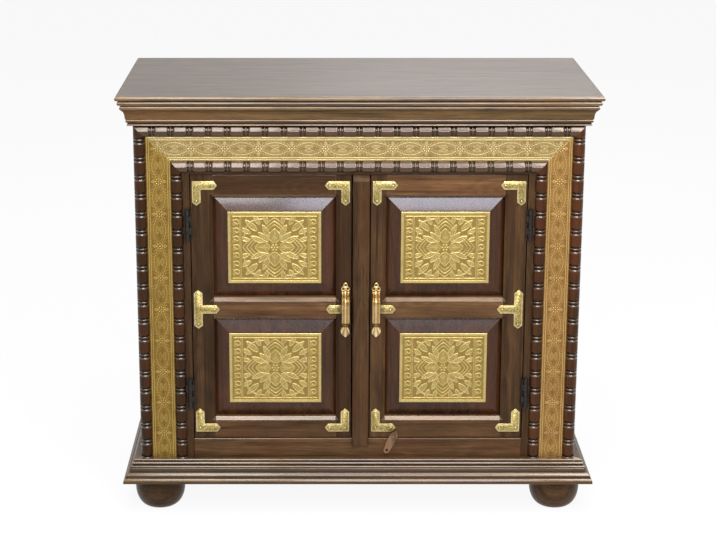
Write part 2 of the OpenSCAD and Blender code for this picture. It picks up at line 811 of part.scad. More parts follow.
// A pull handle: two ends on the door, a post behind each end of the grip, and the grip
module handle(hand) {
    grip_y = door_y - finger_gap;
    x = meet_edge(hand) + hand * handle_in;
    color(cast_brass) translate([x, 0, mid_rail_z]) union() {
        for (end = [-1, 1]) {
            translate([0, door_y, 0]) rotate([90, 0, 0]) linear_extrude(handle_end_t)
                polygon([for (p = handle_end_outline()) [p[0], end * p[1]]]);
            translate([0, door_y, end * (grip_l / 2 - handle_post_r + cast_lap)]) rotate([90, 0, 0])
                cylinder(h = finger_gap + cast_lap, r = handle_post_r);
        }
        translate([0, 0, -grip_l / 2]) linear_extrude(grip_l) polygon(concat(
            arc(0, grip_y, grip_w / 2, grip_t, 180, 360, 12)));
    }
}

// Turn button: turns on a brad in the right door, and its lower end laps over the bottom rail
button_pivot = [post_x[1] + button_x, door_low + button_z];
button_front = face_y - button_gap - button_t;

// Outline from the front with the pivot at the origin and the long way down
function button_outline() = concat(
    [[button_w * 0.1, button_head], [button_w * 0.5, button_head * 0.25], [button_w * 0.5, -button_l * 0.3]],
    arc(0, button_head - button_l + button_w * 0.4, button_w * 0.36, button_w * 0.4, 0, -180, 8),
    [[-button_w * 0.5, -button_l * 0.32], [-button_w * 0.36, button_head * 0.1]]);

module turn_button() {
    color(raw_wood) translate([button_pivot[0], 0, button_pivot[1]]) difference() {
        union() {
            translate([0, face_y - button_gap, 0]) rotate([90, 0, 0]) linear_extrude(button_t)
                rotate(-button_lean) polygon(button_outline());
            translate([0, door_y - button_gap, 0]) rotate([90, 0, 0])
                cylinder(h = door_recess + cut, r = heel_r);
        }
        translate([0, door_y, 0]) rotate([90, 0, 0])
            cylinder(h = door_y - button_front + cut, r = brad_r + brad_play);
        rotate([0, button_lean, 0]) translate([0, door_y, button_head - button_l + button_hole_up])
            rotate([90, 0, 0]) cylinder(h = door_y - button_front + cut, r = button_hole_r);
    }
}

module button_brad() {
    reach = door_y - button_front;
    shank = brad_l + reach + button_gap;
    color(dark_iron) translate([button_pivot[0], door_y + brad_l, button_pivot[1]]) rotate([90, 0, 0])
        union() {
            cylinder(h = shank, r = brad_r);
            translate([0, 0, shank]) cylinder(h = brad_head_t, r = brad_head_r);
        }
}

top_board();
crown_front();
crown_side(-1);  // crown_left
crown_side(1);  // crown_right
side_panel(-1);  // side_left
side_panel(1);  // side_right
back_panel();
bottom_board();
shelf();
shelf_cleats();
frame_stile(-1);  // frame_stile_left
frame_stile(1);  // frame_stile_right
frame_header();
bottom_rail();
centre_post();
brass_band_side(-1);  // brass_band_left
brass_band_side(1);  // brass_band_right
brass_band_top();
upright_bobbin(-1, half_w - bobbin_r, crown_low);  // bobbin_outer_left
upright_bobbin(1, half_w - bobbin_r, crown_low);  // bobbin_outer_right
level_bobbin(half_w, crown_low - bobbin_r);  // bobbin_outer_top
upright_bobbin(-1, band_in - bobbin_r, inner_top);  // bobbin_inner_left
upright_bobbin(1, band_in - bobbin_r, inner_top);  // bobbin_inner_right
level_bobbin(band_in, inner_top - bobbin_r);  // bobbin_inner_top
base_front();
base_side(-1);  // base_left
base_side(1);  // base_right
foot(-foot_x, foot_front_y);  // foot_front_left
foot(foot_x, foot_front_y);  // foot_front_right
foot(-foot_x, foot_back_y);  // foot_back_left
foot(foot_x, foot_back_y);  // foot_back_right
foot_blocks();
hinge_frame_leaves();
hinge_pins();
door_stops();
hinge_stile(-1);  // door_left_hinge_stile
meeting_stile(-1);  // door_left_meeting_stile
top_rail(-1);  // door_left_top_rail
middle_rail(-1);  // door_left_middle_rail
bottom_door_rail(-1);  // door_left_bottom_rail
raised_panel(-1, upper_z);  // door_left_upper_panel
raised_panel(-1, lower_z);  // door_left_lower_panel
brass_plates(-1);  // door_left_brass_plates
brackets(-1);  // door_left_brackets
handle(-1);  // door_left_handle
hinge_door_leaves(-1);  // door_left_hinge_leaves
hinge_stile(1);  // door_right_hinge_stile
meeting_stile(1);  // door_right_meeting_stile
top_rail(1);  // door_right_top_rail
middle_rail(1);  // door_right_middle_rail
bottom_door_rail(1);  // door_right_bottom_rail
raised_panel(1, upper_z);  // door_right_upper_panel
raised_panel(1, lower_z);  // door_right_lower_panel
brass_plates(1);  // door_right_brass_plates
brackets(1);  // door_right_brackets
handle(1);  // door_right_handle
hinge_door_leaves(1);  // door_right_hinge_leaves
turn_button();
button_brad();
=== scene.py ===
"""The finished look of a two-door sideboard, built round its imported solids.

Dark stained wood, bobbin mouldings, embossed brass sheet and cast brass fittings.
Metres throughout, +Z up, the doors facing -Y.
"""

import logging
import math
from collections.abc import Callable, Iterable, Sequence
from dataclasses import dataclass, replace
from enum import Enum
from functools import cache
from itertools import product

import bmesh
import bpy
import numpy as np
from mathutils import Matrix, Vector


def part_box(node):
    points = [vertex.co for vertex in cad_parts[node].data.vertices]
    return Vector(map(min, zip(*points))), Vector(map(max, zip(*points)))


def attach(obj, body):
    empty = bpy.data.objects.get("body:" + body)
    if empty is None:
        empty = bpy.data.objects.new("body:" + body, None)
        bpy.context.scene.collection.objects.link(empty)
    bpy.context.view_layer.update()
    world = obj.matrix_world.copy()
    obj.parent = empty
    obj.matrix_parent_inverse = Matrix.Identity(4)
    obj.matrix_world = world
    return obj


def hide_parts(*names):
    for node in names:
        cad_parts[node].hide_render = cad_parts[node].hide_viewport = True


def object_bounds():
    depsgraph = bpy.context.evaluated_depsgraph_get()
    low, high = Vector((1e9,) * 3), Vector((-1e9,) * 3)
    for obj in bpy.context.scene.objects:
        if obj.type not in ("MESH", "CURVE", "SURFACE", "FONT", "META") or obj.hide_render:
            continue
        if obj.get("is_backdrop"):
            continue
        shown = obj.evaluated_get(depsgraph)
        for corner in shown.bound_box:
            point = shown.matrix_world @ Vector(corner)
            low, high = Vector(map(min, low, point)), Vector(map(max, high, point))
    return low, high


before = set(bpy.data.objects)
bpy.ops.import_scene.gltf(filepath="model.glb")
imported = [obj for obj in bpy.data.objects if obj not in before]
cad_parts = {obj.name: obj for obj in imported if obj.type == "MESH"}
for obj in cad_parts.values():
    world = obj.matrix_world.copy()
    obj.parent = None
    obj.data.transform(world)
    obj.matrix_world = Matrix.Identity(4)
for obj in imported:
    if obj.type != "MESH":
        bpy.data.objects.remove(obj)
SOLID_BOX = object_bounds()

log = logging.getLogger("sideboard")

MM = 0.001
MERGE = 1e-6  # metres between points that count as one
EDGE_ANGLE = 12.0  # degrees a ridge or a hollow turns before it is eased or given painted shade
FULL_SHADE_ANGLE = 40.0  # degrees more that a hollow turns before it holds all the painted shade it can
FLAT = 3.0  # degrees between flat faces and the steps of their eased edges
EDGE_TONE = 0.45  # RELIEF on a sheet's edges and back
NAIL_CROWN = 0.68  # share of a nail's radius that its crown takes up
CABINET = "cabinet"
RELIEF = "relief"  # attribute of brass: 0 in its hollows, 1 on its ridges
PAINTED_SHADE = "painted_shade"  # attribute of wood: how much painted shade darkens it in hollows and grooves

Shape = bmesh.types.BMesh
Socket = bpy.types.NodeSocket
Material = bpy.types.Material
Array = np.ndarray
Point = tuple[float, float]
Point3 = tuple[float, float, float]
Colour = tuple[float, float, float, float]
Field = Callable[[Array, Array], Array]


def colour(code: str) -> Colour:
    """A linear colour from a hex code as seen on a screen.

    Args:
        code: Six hex digits.

    Returns:
        Red, green, blue and alpha.
    """
    shown = [int(code[i:i + 2], 16) / 255 for i in (0, 2, 4)]
    linear = [c / 12.92 if c <= 0.04045 else ((c + 0.055) / 1.055) ** 2.4 for c in shown]
    return (*linear, 1.0)


def clamp(value: float, low: float = 0.0, high: float = 1.0) -> float:
    """A number kept between two others."""
    return min(max(value, low), high)


def arc(x: float, y: float, rx: float, ry: float, start: float, end: float, steps: int = 12) -> list[Point]:
    """Points of an elliptical arc.

    Args:
        x: Middle, first axis.
        y: Middle, second axis.
        rx: Radius along the first axis.
        ry: Radius along the second axis.
        start: First angle in degrees.
        end: Last angle in degrees.
        steps: Number of chords.

    Returns:
        The points from start to end.
    """
    angles = [math.radians(start + (end - start) * i / steps) for i in range(steps + 1)]
    return [(x + rx * math.cos(a), y + ry * math.sin(a)) for a in angles]


# ---- Materials


class Bench:
    """The nodes of a material or a world, with short ways to add and wire them."""

    def __init__(self, owner: Material | bpy.types.World) -> None:
        """Clears the owner's nodes.

        Args:
            owner: A new material or world.
        """
        self.owner = owner
        owner.use_nodes = True
        self.tree = owner.node_tree
        self.tree.nodes.clear()

    def feed(self, socket: Socket, value: object) -> None:
        """Links a socket to another one, or sets its value.

        Args:
            socket: The input.
            value: Another node's output, or the input's new value.
        """
        if isinstance(value, Socket):
            self.tree.links.new(value, socket)
        else:
            socket.default_value = value

    def add(self, kind: str, feeds: dict | None = None, **settings: object) -> bpy.types.Node:
        """Adds a node.

        Args:
            kind: The node's type, without its ShaderNode prefix.
            feeds: What goes into its inputs, by name or number.
            **settings: Its own options.

        Returns:
            The node.
        """
        node = self.tree.nodes.new("ShaderNode" + kind)
        for name, value in settings.items():
            setattr(node, name, value)
        for name, value in (feeds or {}).items():
            self.feed(node.inputs[name], value)
        return node

    def place(self) -> Socket:
        """The point being shaded, in metres from the cabinet's origin."""
        return self.add("TexCoord").outputs["Object"]

    def times(self, vector: Socket, factors: Sequence[float]) -> Socket:
        """A vector multiplied axis by axis."""
        return self.add("VectorMath", {0: vector, 1: tuple(factors)}, operation="MULTIPLY").outputs[0]

    def noise(self, vector: Socket, scale: float, detail: float = 2.0,
              rough: float = 0.5, twist: float = 0.0) -> Socket:
        """Cloudy noise from 0 to 1."""
        return self.add("TexNoise", {"Vector": vector, "Scale": scale, "Detail": detail,
                                     "Roughness": rough, "Distortion": twist}).outputs[0]

    def sums(self, kind: str, a: object, b: object = 0.0) -> Socket:
        """A sum of two numbers, of the named operation."""
        return self.add("Math", {0: a, 1: b}, operation=kind).outputs[0]

    def remap(self, value: Socket, low: float, high: float,
              out_low: float = 0.0, out_high: float = 1.0) -> Socket:
        """A number moved from one range to another, and kept inside it."""
        return self.add("MapRange", {"Value": value, "From Min": low, "From Max": high,
                                     "To Min": out_low, "To Max": out_high}).outputs[0]

    def mix(self, share: object, first: object, second: object) -> Socket:
        """Mixes two colours.

        Args:
            share: How much of the second, from 0 to 1.
            first: The first colour.
            second: The second colour.

        Returns:
            The mixed colour.
        """
        node = self.add("Mix", data_type="RGBA")
        for socket, value in zip((node.inputs[0], node.inputs[6], node.inputs[7]), (share, first, second)):
            self.feed(socket, value)
        return node.outputs[2]

    def bump(self, height: Socket, depth: float, strength: float,
             under: Socket | None = None) -> Socket:
        """A normal tilted by a height.

        Args:
            height: From 0 to 1.
            depth: Metres between 0 and 1.
            strength: How much of it shows.
            under: A normal that it is added to.

        Returns:
            The new normal.
        """
        feeds = {"Height": height, "Distance": depth, "Strength": strength}
        if under is not None:
            feeds["Normal"] = under
        return self.add("Bump", feeds).outputs[0]

    def surface(self, feeds: dict) -> Material:
        """Ends the material in a principled shader.

        Args:
            feeds: The shader's inputs.

        Returns:
            The material.
        """
        shader = self.add("BsdfPrincipled", feeds)
        self.add("OutputMaterial", {"Surface": shader.outputs[0]})
        return self.owner


class Grain(Enum):
    """Which way a board's grain runs, as the turn that lays that axis along X."""

    ACROSS = (0.0, 0.0, 0.0)
    DEPTH = (0.0, 0.0, -math.pi / 2)
    UPRIGHT = (0.0, math.pi / 2, 0.0)


@dataclass(frozen=True)
class Stain:
    """The colours and sheen of one kind of finished wood."""

    name: str
    deep: str
    pale: str
    red: str
    figure: float = 0.5
    rough: float = 0.32
    level: float = 0.25
    tint: str = "ffe6cc"
    coat: float = 0.1


WALNUT = Stain("walnut", "28190f", "684a2e", "4a2c18", figure=0.35, level=0.2, coat=0.0)
PANEL = Stain("panel_walnut", "1c0b04", "4e2d17", "42200f", figure=0.35, rough=0.24, level=0.24, tint="ffdcc0",
              coat=0.28)
BEVEL = replace(PANEL, name="panel_bevel_walnut", rough=0.22, level=0.3, tint="fff0ec", coat=0.55)
BOBBIN = Stain("bobbin_walnut", "150a03", "4a3018", "3c240f", figure=0.25, rough=0.22, level=0.45, tint="ffe0c2",
               coat=0.58)
UPRIGHT_BOBBIN = Stain("upright_bobbin_walnut", "170a03", "4a2812", "46200c", figure=0.25, rough=0.28, level=0.25,
                       tint="ffd4a8", coat=0.12)
SHOULDER = replace(BOBBIN, name="bobbin_shoulder_walnut", rough=0.24, level=0.6, tint="fff0e0", coat=1.0)
STICKING = Stain("sticking_walnut", "1c130d", "54412f", "44301f", figure=0.2, rough=0.22, level=0.35, tint="ffe2c4",
                 coat=0.7)
TRIM = Stain("moulding_walnut", "120903", "4c381d", "3a2410", figure=0.25, rough=0.22, level=0.35, tint="ffd4a4",
             coat=0.7)
COVE = replace(TRIM, name="cove_walnut", rough=0.3, level=0.25, tint="ffd8a8", coat=0.3)
SIDE_TRIM = replace(TRIM, name="side_moulding_walnut", rough=0.4, level=0.2, tint="ffdcb8", coat=0.2)
TOP = Stain("top_walnut", "1f1610", "524030", "3c2a1d", figure=0.5, rough=0.34, level=0.32, coat=0.1)
INSIDE = Stain("inside_wood", "4f3828", "8d6c50", "75503a", rough=0.6, level=0.2, coat=0.0)
RAW = Stain("raw_wood", "4c3828", "87684f", "78553d", figure=0.6, rough=0.7, level=0.2, coat=0.0)


@dataclass(frozen=True)
class Wood:
    """A board cut from one place in the log, taking the stain more or less; on some faces its tone paints highlights
    and shade instead.
    """

    stain: Stain
    grain: Grain
    log_place: int = 0
    tone: float = 1.0
    knot: Point | None = None

    def material(self) -> Material:
        """The board's material, one for each place in the log."""
        return wood_material(self)


@cache
def wood_material(wood: Wood) -> Material:
    """Builds stained and lacquered wood: slow figure, fibres, pores and patches of stain.

    Args:
        wood: The stain, the way of the grain and the place in the log.

    Returns:
        The material.
    """
    stain = wood.stain
    deep, pale, red = (tuple(min(c * wood.tone, 1.0) for c in colour(code)[:3]) + (1.0,)
                       for code in (stain.deep, stain.pale, stain.red))
    bench = Bench(bpy.data.materials.new(f"{stain.name}_{wood.grain.name.lower()}_{wood.log_place:02d}"))
    start = (0.37 * wood.log_place, 0.113 * wood.log_place + 0.021, 0.171 * wood.log_place)
    along = bench.add("Mapping", {"Vector": bench.place(), "Location": start,
                                  "Rotation": wood.grain.value}).outputs[0]
    slow = bench.noise(bench.times(along, (2.2, 13.0, 13.0)), 1.0, 2.0, 0.45, 1.2)
    if wood.knot is not None:
        middle = bench.add("VectorMath", {0: bench.place(), 1: (wood.knot[0], 0.0, wood.knot[1])},
                           operation="SUBTRACT").outputs[0]
        far = bench.add("VectorMath", {0: bench.times(middle, (1.0, 0.0, 2.4))}, operation="LENGTH").outputs["Value"]
        slow = bench.sums("ADD", slow, bench.remap(far, 0.0, 0.07, 0.4, 0.0))
    rings = bench.remap(bench.sums("SINE", bench.sums("MULTIPLY", slow, 46.0)), -1.0, 1.0)
    streaks = bench.noise(bench.times(along, (2.2, 95.0, 95.0)), 1.0, 3.0, 0.62, 0.2)
    fibres = bench.noise(bench.times(along, (8.0, 380.0, 380.0)), 1.0, 3.0, 0.6)
    pores = bench.remap(bench.noise(bench.times(along, (45.0, 1300.0, 1300.0)), 1.0, 1.0), 0.36, 0.48)
    patches = bench.noise(bench.times(along, (3.4, 9.0, 9.0)), 1.0, 3.0, 0.6, 0.8)
    quiet = stain.figure * 0.25
    body = bench.sums("ADD", bench.sums("MULTIPLY", rings, stain.figure * 0.5),
                      bench.sums("MULTIPLY", bench.remap(fibres, 0.3, 0.72), 0.45 - quiet))
    body = bench.sums("ADD", body, bench.sums("MULTIPLY", bench.remap(streaks, 0.32, 0.68), 0.55 - quiet))
    shade = bench.mix(bench.remap(body, 0.1, 1.0), deep, pale)
    shade = bench.mix(bench.remap(patches, 0.5, 0.7, 0.0, 0.8), shade, red)
    shade = bench.mix(bench.remap(patches, 0.28, 0.46, 0.6, 0.0), shade, deep)
    shade = bench.mix(bench.remap(pores, 0.0, 1.0, 0.45, 0.0), shade, deep)
    # Painted shade: marked hollows and grooves are darkened towards near-black.
    painted_shade = bench.add("Attribute", attribute_name=PAINTED_SHADE).outputs["Fac"]
    shade = bench.mix(bench.remap(painted_shade, 0.0, 1.0, 0.0, 0.9), shade, colour("0b0603"))
    normal = bench.bump(pores, 0.00012, 0.35)
    normal = bench.bump(fibres, 0.0003, 0.22, normal)
    return bench.surface({
        "Base Color": shade,
        "Roughness": bench.remap(fibres, 0.3, 0.7, stain.rough + 0.06, stain.rough - 0.04),
        "Specular IOR Level": stain.level,
        "Specular Tint": colour(stain.tint),
        "Coat Weight": stain.coat,
        "Coat Roughness": 0.1,
        "Normal": normal,
    })


@dataclass(frozen=True)
class Brass:
    """Brass with tarnish in its hollows, which a RELIEF attribute gives from 0 to 1."""

    name: str
    bright: str
    body: str
    tarnish: str
    rough: float
    grain: float
    hammer: float = 0.4

    def material(self) -> Material:
        """The metal's material."""
        return brass_material(self)


@cache
def brass_material(brass: Brass) -> Material:
    """Builds aged brass.

    Args:
        brass: Its colours, roughness and the size of its hammering.

    Returns:
        The material.
    """
    bench = Bench(bpy.data.materials.new(brass.name))
    place = bench.place()
    relief = bench.add("Attribute", attribute_name=RELIEF).outputs["Fac"]
    cloud = bench.noise(place, 22.0, 4.0, 0.6)
    speck = bench.noise(place, brass.grain, 3.0, 0.65)
    spread = 0.1 + 0.3 * brass.hammer
    worn = bench.sums("ADD", relief, bench.remap(speck, 0.3, 0.7, -spread, spread))
    shade = bench.mix(bench.remap(worn, 0.02, 0.34), colour(brass.tarnish), colour(brass.body))
    shade = bench.mix(bench.remap(worn, 0.42, 0.95), shade, colour(brass.bright))
    shade = bench.mix(bench.remap(cloud, 0.5, 0.72, 0.0, 0.4), shade, colour(brass.tarnish))
    hammer = bench.bump(speck, 0.0007, brass.hammer)
    return bench.surface({
        "Base Color": shade,
        "Metallic": 1.0,
        "Roughness": bench.remap(worn, 0.0, 1.0, brass.rough + 0.12, brass.rough - 0.08),
        "Normal": hammer,
    })


SHEET = Brass("embossed_brass", "d2c086", "ac9455", "8e7642", 0.4, 520.0, 0.55)
# Painted light: the bands are lit and shaded copies of one brass, the top band lighter, the side bands darker and the
# left one darkest.
TOP_SHEET = Brass("embossed_brass_top", "e2d2a6", "b5a06c", "826b40", 0.38, 560.0, 0.7)
LEFT_SHEET = Brass("embossed_brass_left", "d0b674", "9e8142", "6e5428", 0.42, 560.0, 0.6)
RIGHT_SHEET = Brass("embossed_brass_right", "dabb86", "ad874e", "795930", 0.42, 560.0, 0.6)
CAST = Brass("cast_brass", "e2d6a2", "b09a5c", "5c4520", 0.34, 360.0, 1.0)
PULL = Brass("pull_brass", "eedcae", "b08c54", "583c1a", 0.32, 380.0, 0.4)


@cache
def iron_material(rusted: bool = False) -> Material:
    """Builds the dark iron of the hinges, or the rusted iron of the brad.

    Args:
        rusted: True for the brad's.

    Returns:
        The material.
    """
    bench = Bench(bpy.data.materials.new("rusted_iron" if rusted else "dark_iron"))
    dark, pale = ("3a281c", "7a5c44") if rusted else ("191716", "3a332d")
    mottle = bench.noise(bench.place(), 300.0, 3.0, 0.6)
    return bench.surface({
        "Base Color": bench.mix(bench.remap(mottle, 0.35, 0.65), colour(dark), colour(pale)),
        "Metallic": 0.2 if rusted else 0.7,
        "Roughness": bench.remap(mottle, 0.3, 0.7, 0.42, 0.62),
        "Normal": bench.bump(mottle, 0.0003, 0.4),
    })


# ---- Pieces


@dataclass(frozen=True)
class Role:
    """What a piece stands for: the body it moves with, its material slot and the solids it replaces."""

    body: str
    slot: str
    nodes: tuple[str, ...] = ()


def put(name: str, data: bpy.types.ID) -> bpy.types.Object:
    """Makes an object in the scene.

    Args:
        name: Its name.
        data: Its mesh, light or camera.

    Returns:
        The object, at the origin.
    """
    made = bpy.data.objects.new(name, data)
    bpy.context.scene.collection.objects.link(made)
    return made


def settle(bm: Shape, name: str, role: Role, material: Material, *, sharp: float,
           relief: Field | None = None, accents: Sequence[Material] = ()) -> None:
    """Turns a finished bmesh into a piece of the cabinet.

    Args:
        bm: The shape, in place. It is freed.
        name: The piece's name.
        role: Its body, slot and the solids it stands for.
        material: Its finish.
        sharp: Edges bent more than this many degrees stay crisp.
        relief: A height in millimetres by x and z, which lifts the points marked in the RELIEF layer.
        accents: The finishes of the faces whose material index is 1 and more.
    """
    bmesh.ops.recalc_face_normals(bm, faces=bm.faces)
    mesh = bpy.data.meshes.new(name)
    bm.to_mesh(mesh)
    bm.free()
    if relief is not None:
        emboss(mesh, relief)
    mesh.shade_smooth()
    mesh.set_sharp_from_angle(angle=math.radians(sharp))
    for finish in (material, *accents):
        mesh.materials.append(finish)
    piece = put(name, mesh)
    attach(piece, role.body)
    if role.nodes:
        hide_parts(*role.nodes)
    log.info("%s: %d faces, moves with %s", name, len(mesh.polygons), role.body)


def emboss(mesh: bpy.types.Mesh, relief: Field) -> None:
    """Lifts a sheet's marked points towards -Y and leaves their share of the greatest lift in RELIEF.

    Args:
        mesh: The sheet.
        relief: The lift in millimetres by x and z.
    """
    count = len(mesh.vertices)
    places = np.empty(count * 3, np.float32)
    mesh.vertices.foreach_get("co", places)
    places = places.reshape(-1, 3)
    marks = mesh.attributes[RELIEF].data
    share = np.empty(count, np.float32)
    marks.foreach_get("value", share)
    free = share > 0
    lift = np.zeros(count)
    lift[free] = relief(places[free, 0], places[free, 2])
    places[:, 1] -= (lift * MM).astype(np.float32)
    mesh.vertices.foreach_set("co", places.ravel())
    tone = np.clip(lift / max(lift.max(), MERGE), 0, 1)
    tone[~free] = EDGE_TONE
    marks.foreach_set("value", tone.astype(np.float32))
    mesh.update()


def dress(node: str, material: Material) -> None:
    """Gives its finish to a solid that keeps its shape.

    Args:
        node: The solid.
        material: The finish.
    """
    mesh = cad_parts[node].data
    mesh.materials.clear()
    mesh.materials.append(material)
    log.info("%s: finished in %s", node, material.name)


def merged(node: str) -> Shape:
    """Copies a flat-faced solid, with whole faces in place of its triangles.

    Args:
        node: The solid.

    Returns:
        The copy.
    """
    bm = bmesh.new()
    bm.from_mesh(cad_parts[node].data)
    bmesh.ops.remove_doubles(bm, verts=bm.verts, dist=MERGE)
    bmesh.ops.dissolve_limit(bm, angle_limit=math.radians(1), verts=bm.verts, edges=bm.edges)
    return bm


def bevel(bm: Shape, edges: list[bmesh.types.BMEdge], width: float, segments: int) -> None:
    """Bevels some edges.

    Args:
        bm: The shape.
        edges: The edges.
        width: How far each one is cut back, in millimetres.
        segments: Steps round each edge.
    """
    bmesh.ops.bevel(bm, geom=edges, offset=width * MM, offset_type="OFFSET", segments=segments, profile=0.5,
                    affect="EDGES", clamp_overlap=True, material=-1)


def soften(bm: Shape, width: float, segments: int = 2) -> None:
    """Eases every edge of a flat-faced shape.

    Args:
        bm: The shape.
        width: How far each edge is eased, in millimetres.
        segments: Steps round each edge.
    """
    edges = [e for e in bm.edges if e.is_manifold and e.calc_face_angle() > math.radians(EDGE_ANGLE)]
    bevel(bm, edges, width, segments)


def pick_out(bm: Shape, test: Callable[[Vector], int]) -> None:
    """Gives each face its finish by the way it faces.

    Args:
        bm: The shape.
        test: The number of a face's finish, by its outward normal.
    """
    bmesh.ops.recalc_face_normals(bm, faces=bm.faces)
    bm.normal_update()
    for face in bm.faces:
        face.material_index = int(test(face.normal))


def shift(bm: Shape, step: Sequence[float]) -> None:
    """Moves a whole shape."""
    bmesh.ops.translate(bm, verts=bm.verts, vec=step)


def quarter_turn(bm: Shape, axis: str) -> None:
    """Turns a whole shape by 90 degrees about an axis through the origin."""
    bmesh.ops.rotate(bm, verts=bm.verts, cent=(0, 0, 0), matrix=Matrix.Rotation(math.pi / 2, 3, axis))


def points_of(made: dict, part: str = "geom") -> list[bmesh.types.BMVert]:
    """The points among what an operator made."""
    return [g for g in made[part] if isinstance(g, bmesh.types.BMVert)]


def cut(bm: Shape, point: Sequence[float], away: Sequence[float], capped: bool = True) -> None:
    """Cuts off what lies past a plane.

    Args:
        bm: The shape.
        point: A point of the plane.
        away: The side that goes.
        capped: True to close the cut.
    """
    everything = [*bm.verts, *bm.edges, *bm.faces]
    bmesh.ops.bisect_plane(bm, geom=everything, dist=MERGE, plane_co=point, plane_no=away, clear_outer=True)
    if capped:
        close(bm)


def close(bm: Shape) -> None:
    """Fills every open edge loop.

    Args:
        bm: The shape.
    """
    edges = [e for e in bm.edges if e.is_boundary]
    if edges:
        bmesh.ops.holes_fill(bm, edges=edges, sides=0)


def chain(bm: Shape, points: Iterable[Sequence[float]]) -> list[bmesh.types.BMEdge]:
    """Joins points into an open line of edges."""
    verts = [bm.verts.new(p) for p in points]
    return [bm.edges.new(pair) for pair in zip(verts, verts[1:])]


def turned(outline: Sequence[Point], sweep: float, steps: int) -> Shape:
    """Turns an outline of (radius, height) about Z, through -Y where the sweep is a half turn.

    Args:
        outline: Points from the bottom up, in metres.
        sweep: How far it turns, in degrees.
        steps: Number of facets.

    Returns:
        The closed shape.
    """
    bm = bmesh.new()
    first = chain(bm, [(r, 0, z) for r, z in outline])
    full = sweep >= 360
    made = bmesh.ops.spin(bm, geom=[*bm.verts, *bm.edges], cent=(0, 0, 0), axis=(0, 0, -1), dvec=(0, 0, 0),
                          angle=math.radians(sweep), steps=steps, use_merge=full, use_duplicate=False)
    if not full:
        last = [g for g in made["geom_last"] if isinstance(g, bmesh.types.BMEdge)]
        bmesh.ops.bridge_loops(bm, edges=[*first, *last])
    bmesh.ops.remove_doubles(bm, verts=bm.verts, dist=MERGE)
    return bm


def drawn_out(outline: Sequence[Point], axis: str, low: float, high: float, side: int = 0) -> Shape:
    """Draws an outline of (out, height) along X or Y.

    Args:
        outline: Points in metres, out from the carcass.
        axis: "x" for a length across the front, "y" for one along a side.
        low: Where it starts.
        high: Where it ends.
        side: -1 or 1 for the side that it stands on, where it runs along Y.

    Returns:
        The closed shape.
    """
    carcass = Carcass()
    bm = bmesh.new()
    # Painted shade, darkest at the outline's sharp hollows.
    dark = bm.verts.layers.float.new(PAINTED_SHADE)
    if axis == "x":
        verts = [bm.verts.new((low, carcass.face - o, z)) for o, z in outline]
        step = (high - low, 0, 0)
    else:
        verts = [bm.verts.new((side * (carcass.half + o), low, z)) for o, z in outline]
        step = (0, high - low, 0)
    for i, vert in enumerate(verts):
        vert[dark] = hollow_shade(outline[i - 1], outline[i], outline[(i + 1) % len(outline)])
    face = bm.faces.new(verts)
    made = bmesh.ops.extrude_face_region(bm, geom=[face])
    bmesh.ops.translate(bm, verts=points_of(made), vec=step)
    return bm


def hollow_shade(before: Point, here: Point, after: Point) -> float:
    """How much painted shade a corner of a clockwise outline gets.

    Args:
        before: The point before it.
        here: The corner.
        after: The point after it.

    Returns:
        1 in a sharp hollow, 0 on a ridge.
    """
    first = math.atan2(here[1] - before[1], here[0] - before[0])
    last = math.atan2(after[1] - here[1], after[0] - here[0])
    turn = math.degrees((last - first + math.pi) % math.tau - math.pi)
    return clamp((turn - EDGE_ANGLE) / FULL_SHADE_ANGLE)


def join(bm: Shape, other: Shape) -> None:
    """Adds another shape to this one.

    Args:
        bm: The shape that grows.
        other: The other one. It is freed.
    """
    mesh = bpy.data.meshes.new("joined")
    other.to_mesh(mesh)
    other.free()
    bm.from_mesh(mesh)
    bpy.data.meshes.remove(mesh)


def nail(place: Sequence[float], radius: float, shine: float, rim_shine: float) -> Shape:
    """A round-headed nail that shows on a face towards -Y.

    Args:
        place: The middle of its head, on that face.
        radius: Of the head, in millimetres.
        shine: RELIEF in the middle two thirds of the head.
        rim_shine: RELIEF round its rim.

    Returns:
        The head.
    """
    points = [(0.0, -0.9), (1.0, -0.9), *arc(0, -0.1, 1.0, 0.75, 0, 90, 5)]
    bm = turned([(radius * MM * r, radius * MM * z) for r, z in points], 360, 14)
    tone = bm.verts.layers.float.new(RELIEF)
    for vert in bm.verts:
        vert[tone] = shine if math.hypot(vert.co.x, vert.co.y) < NAIL_CROWN * radius * MM else rim_shine
    quarter_turn(bm, "X")
    shift(bm, place)
    return bm


# ---- Carcass and mouldings


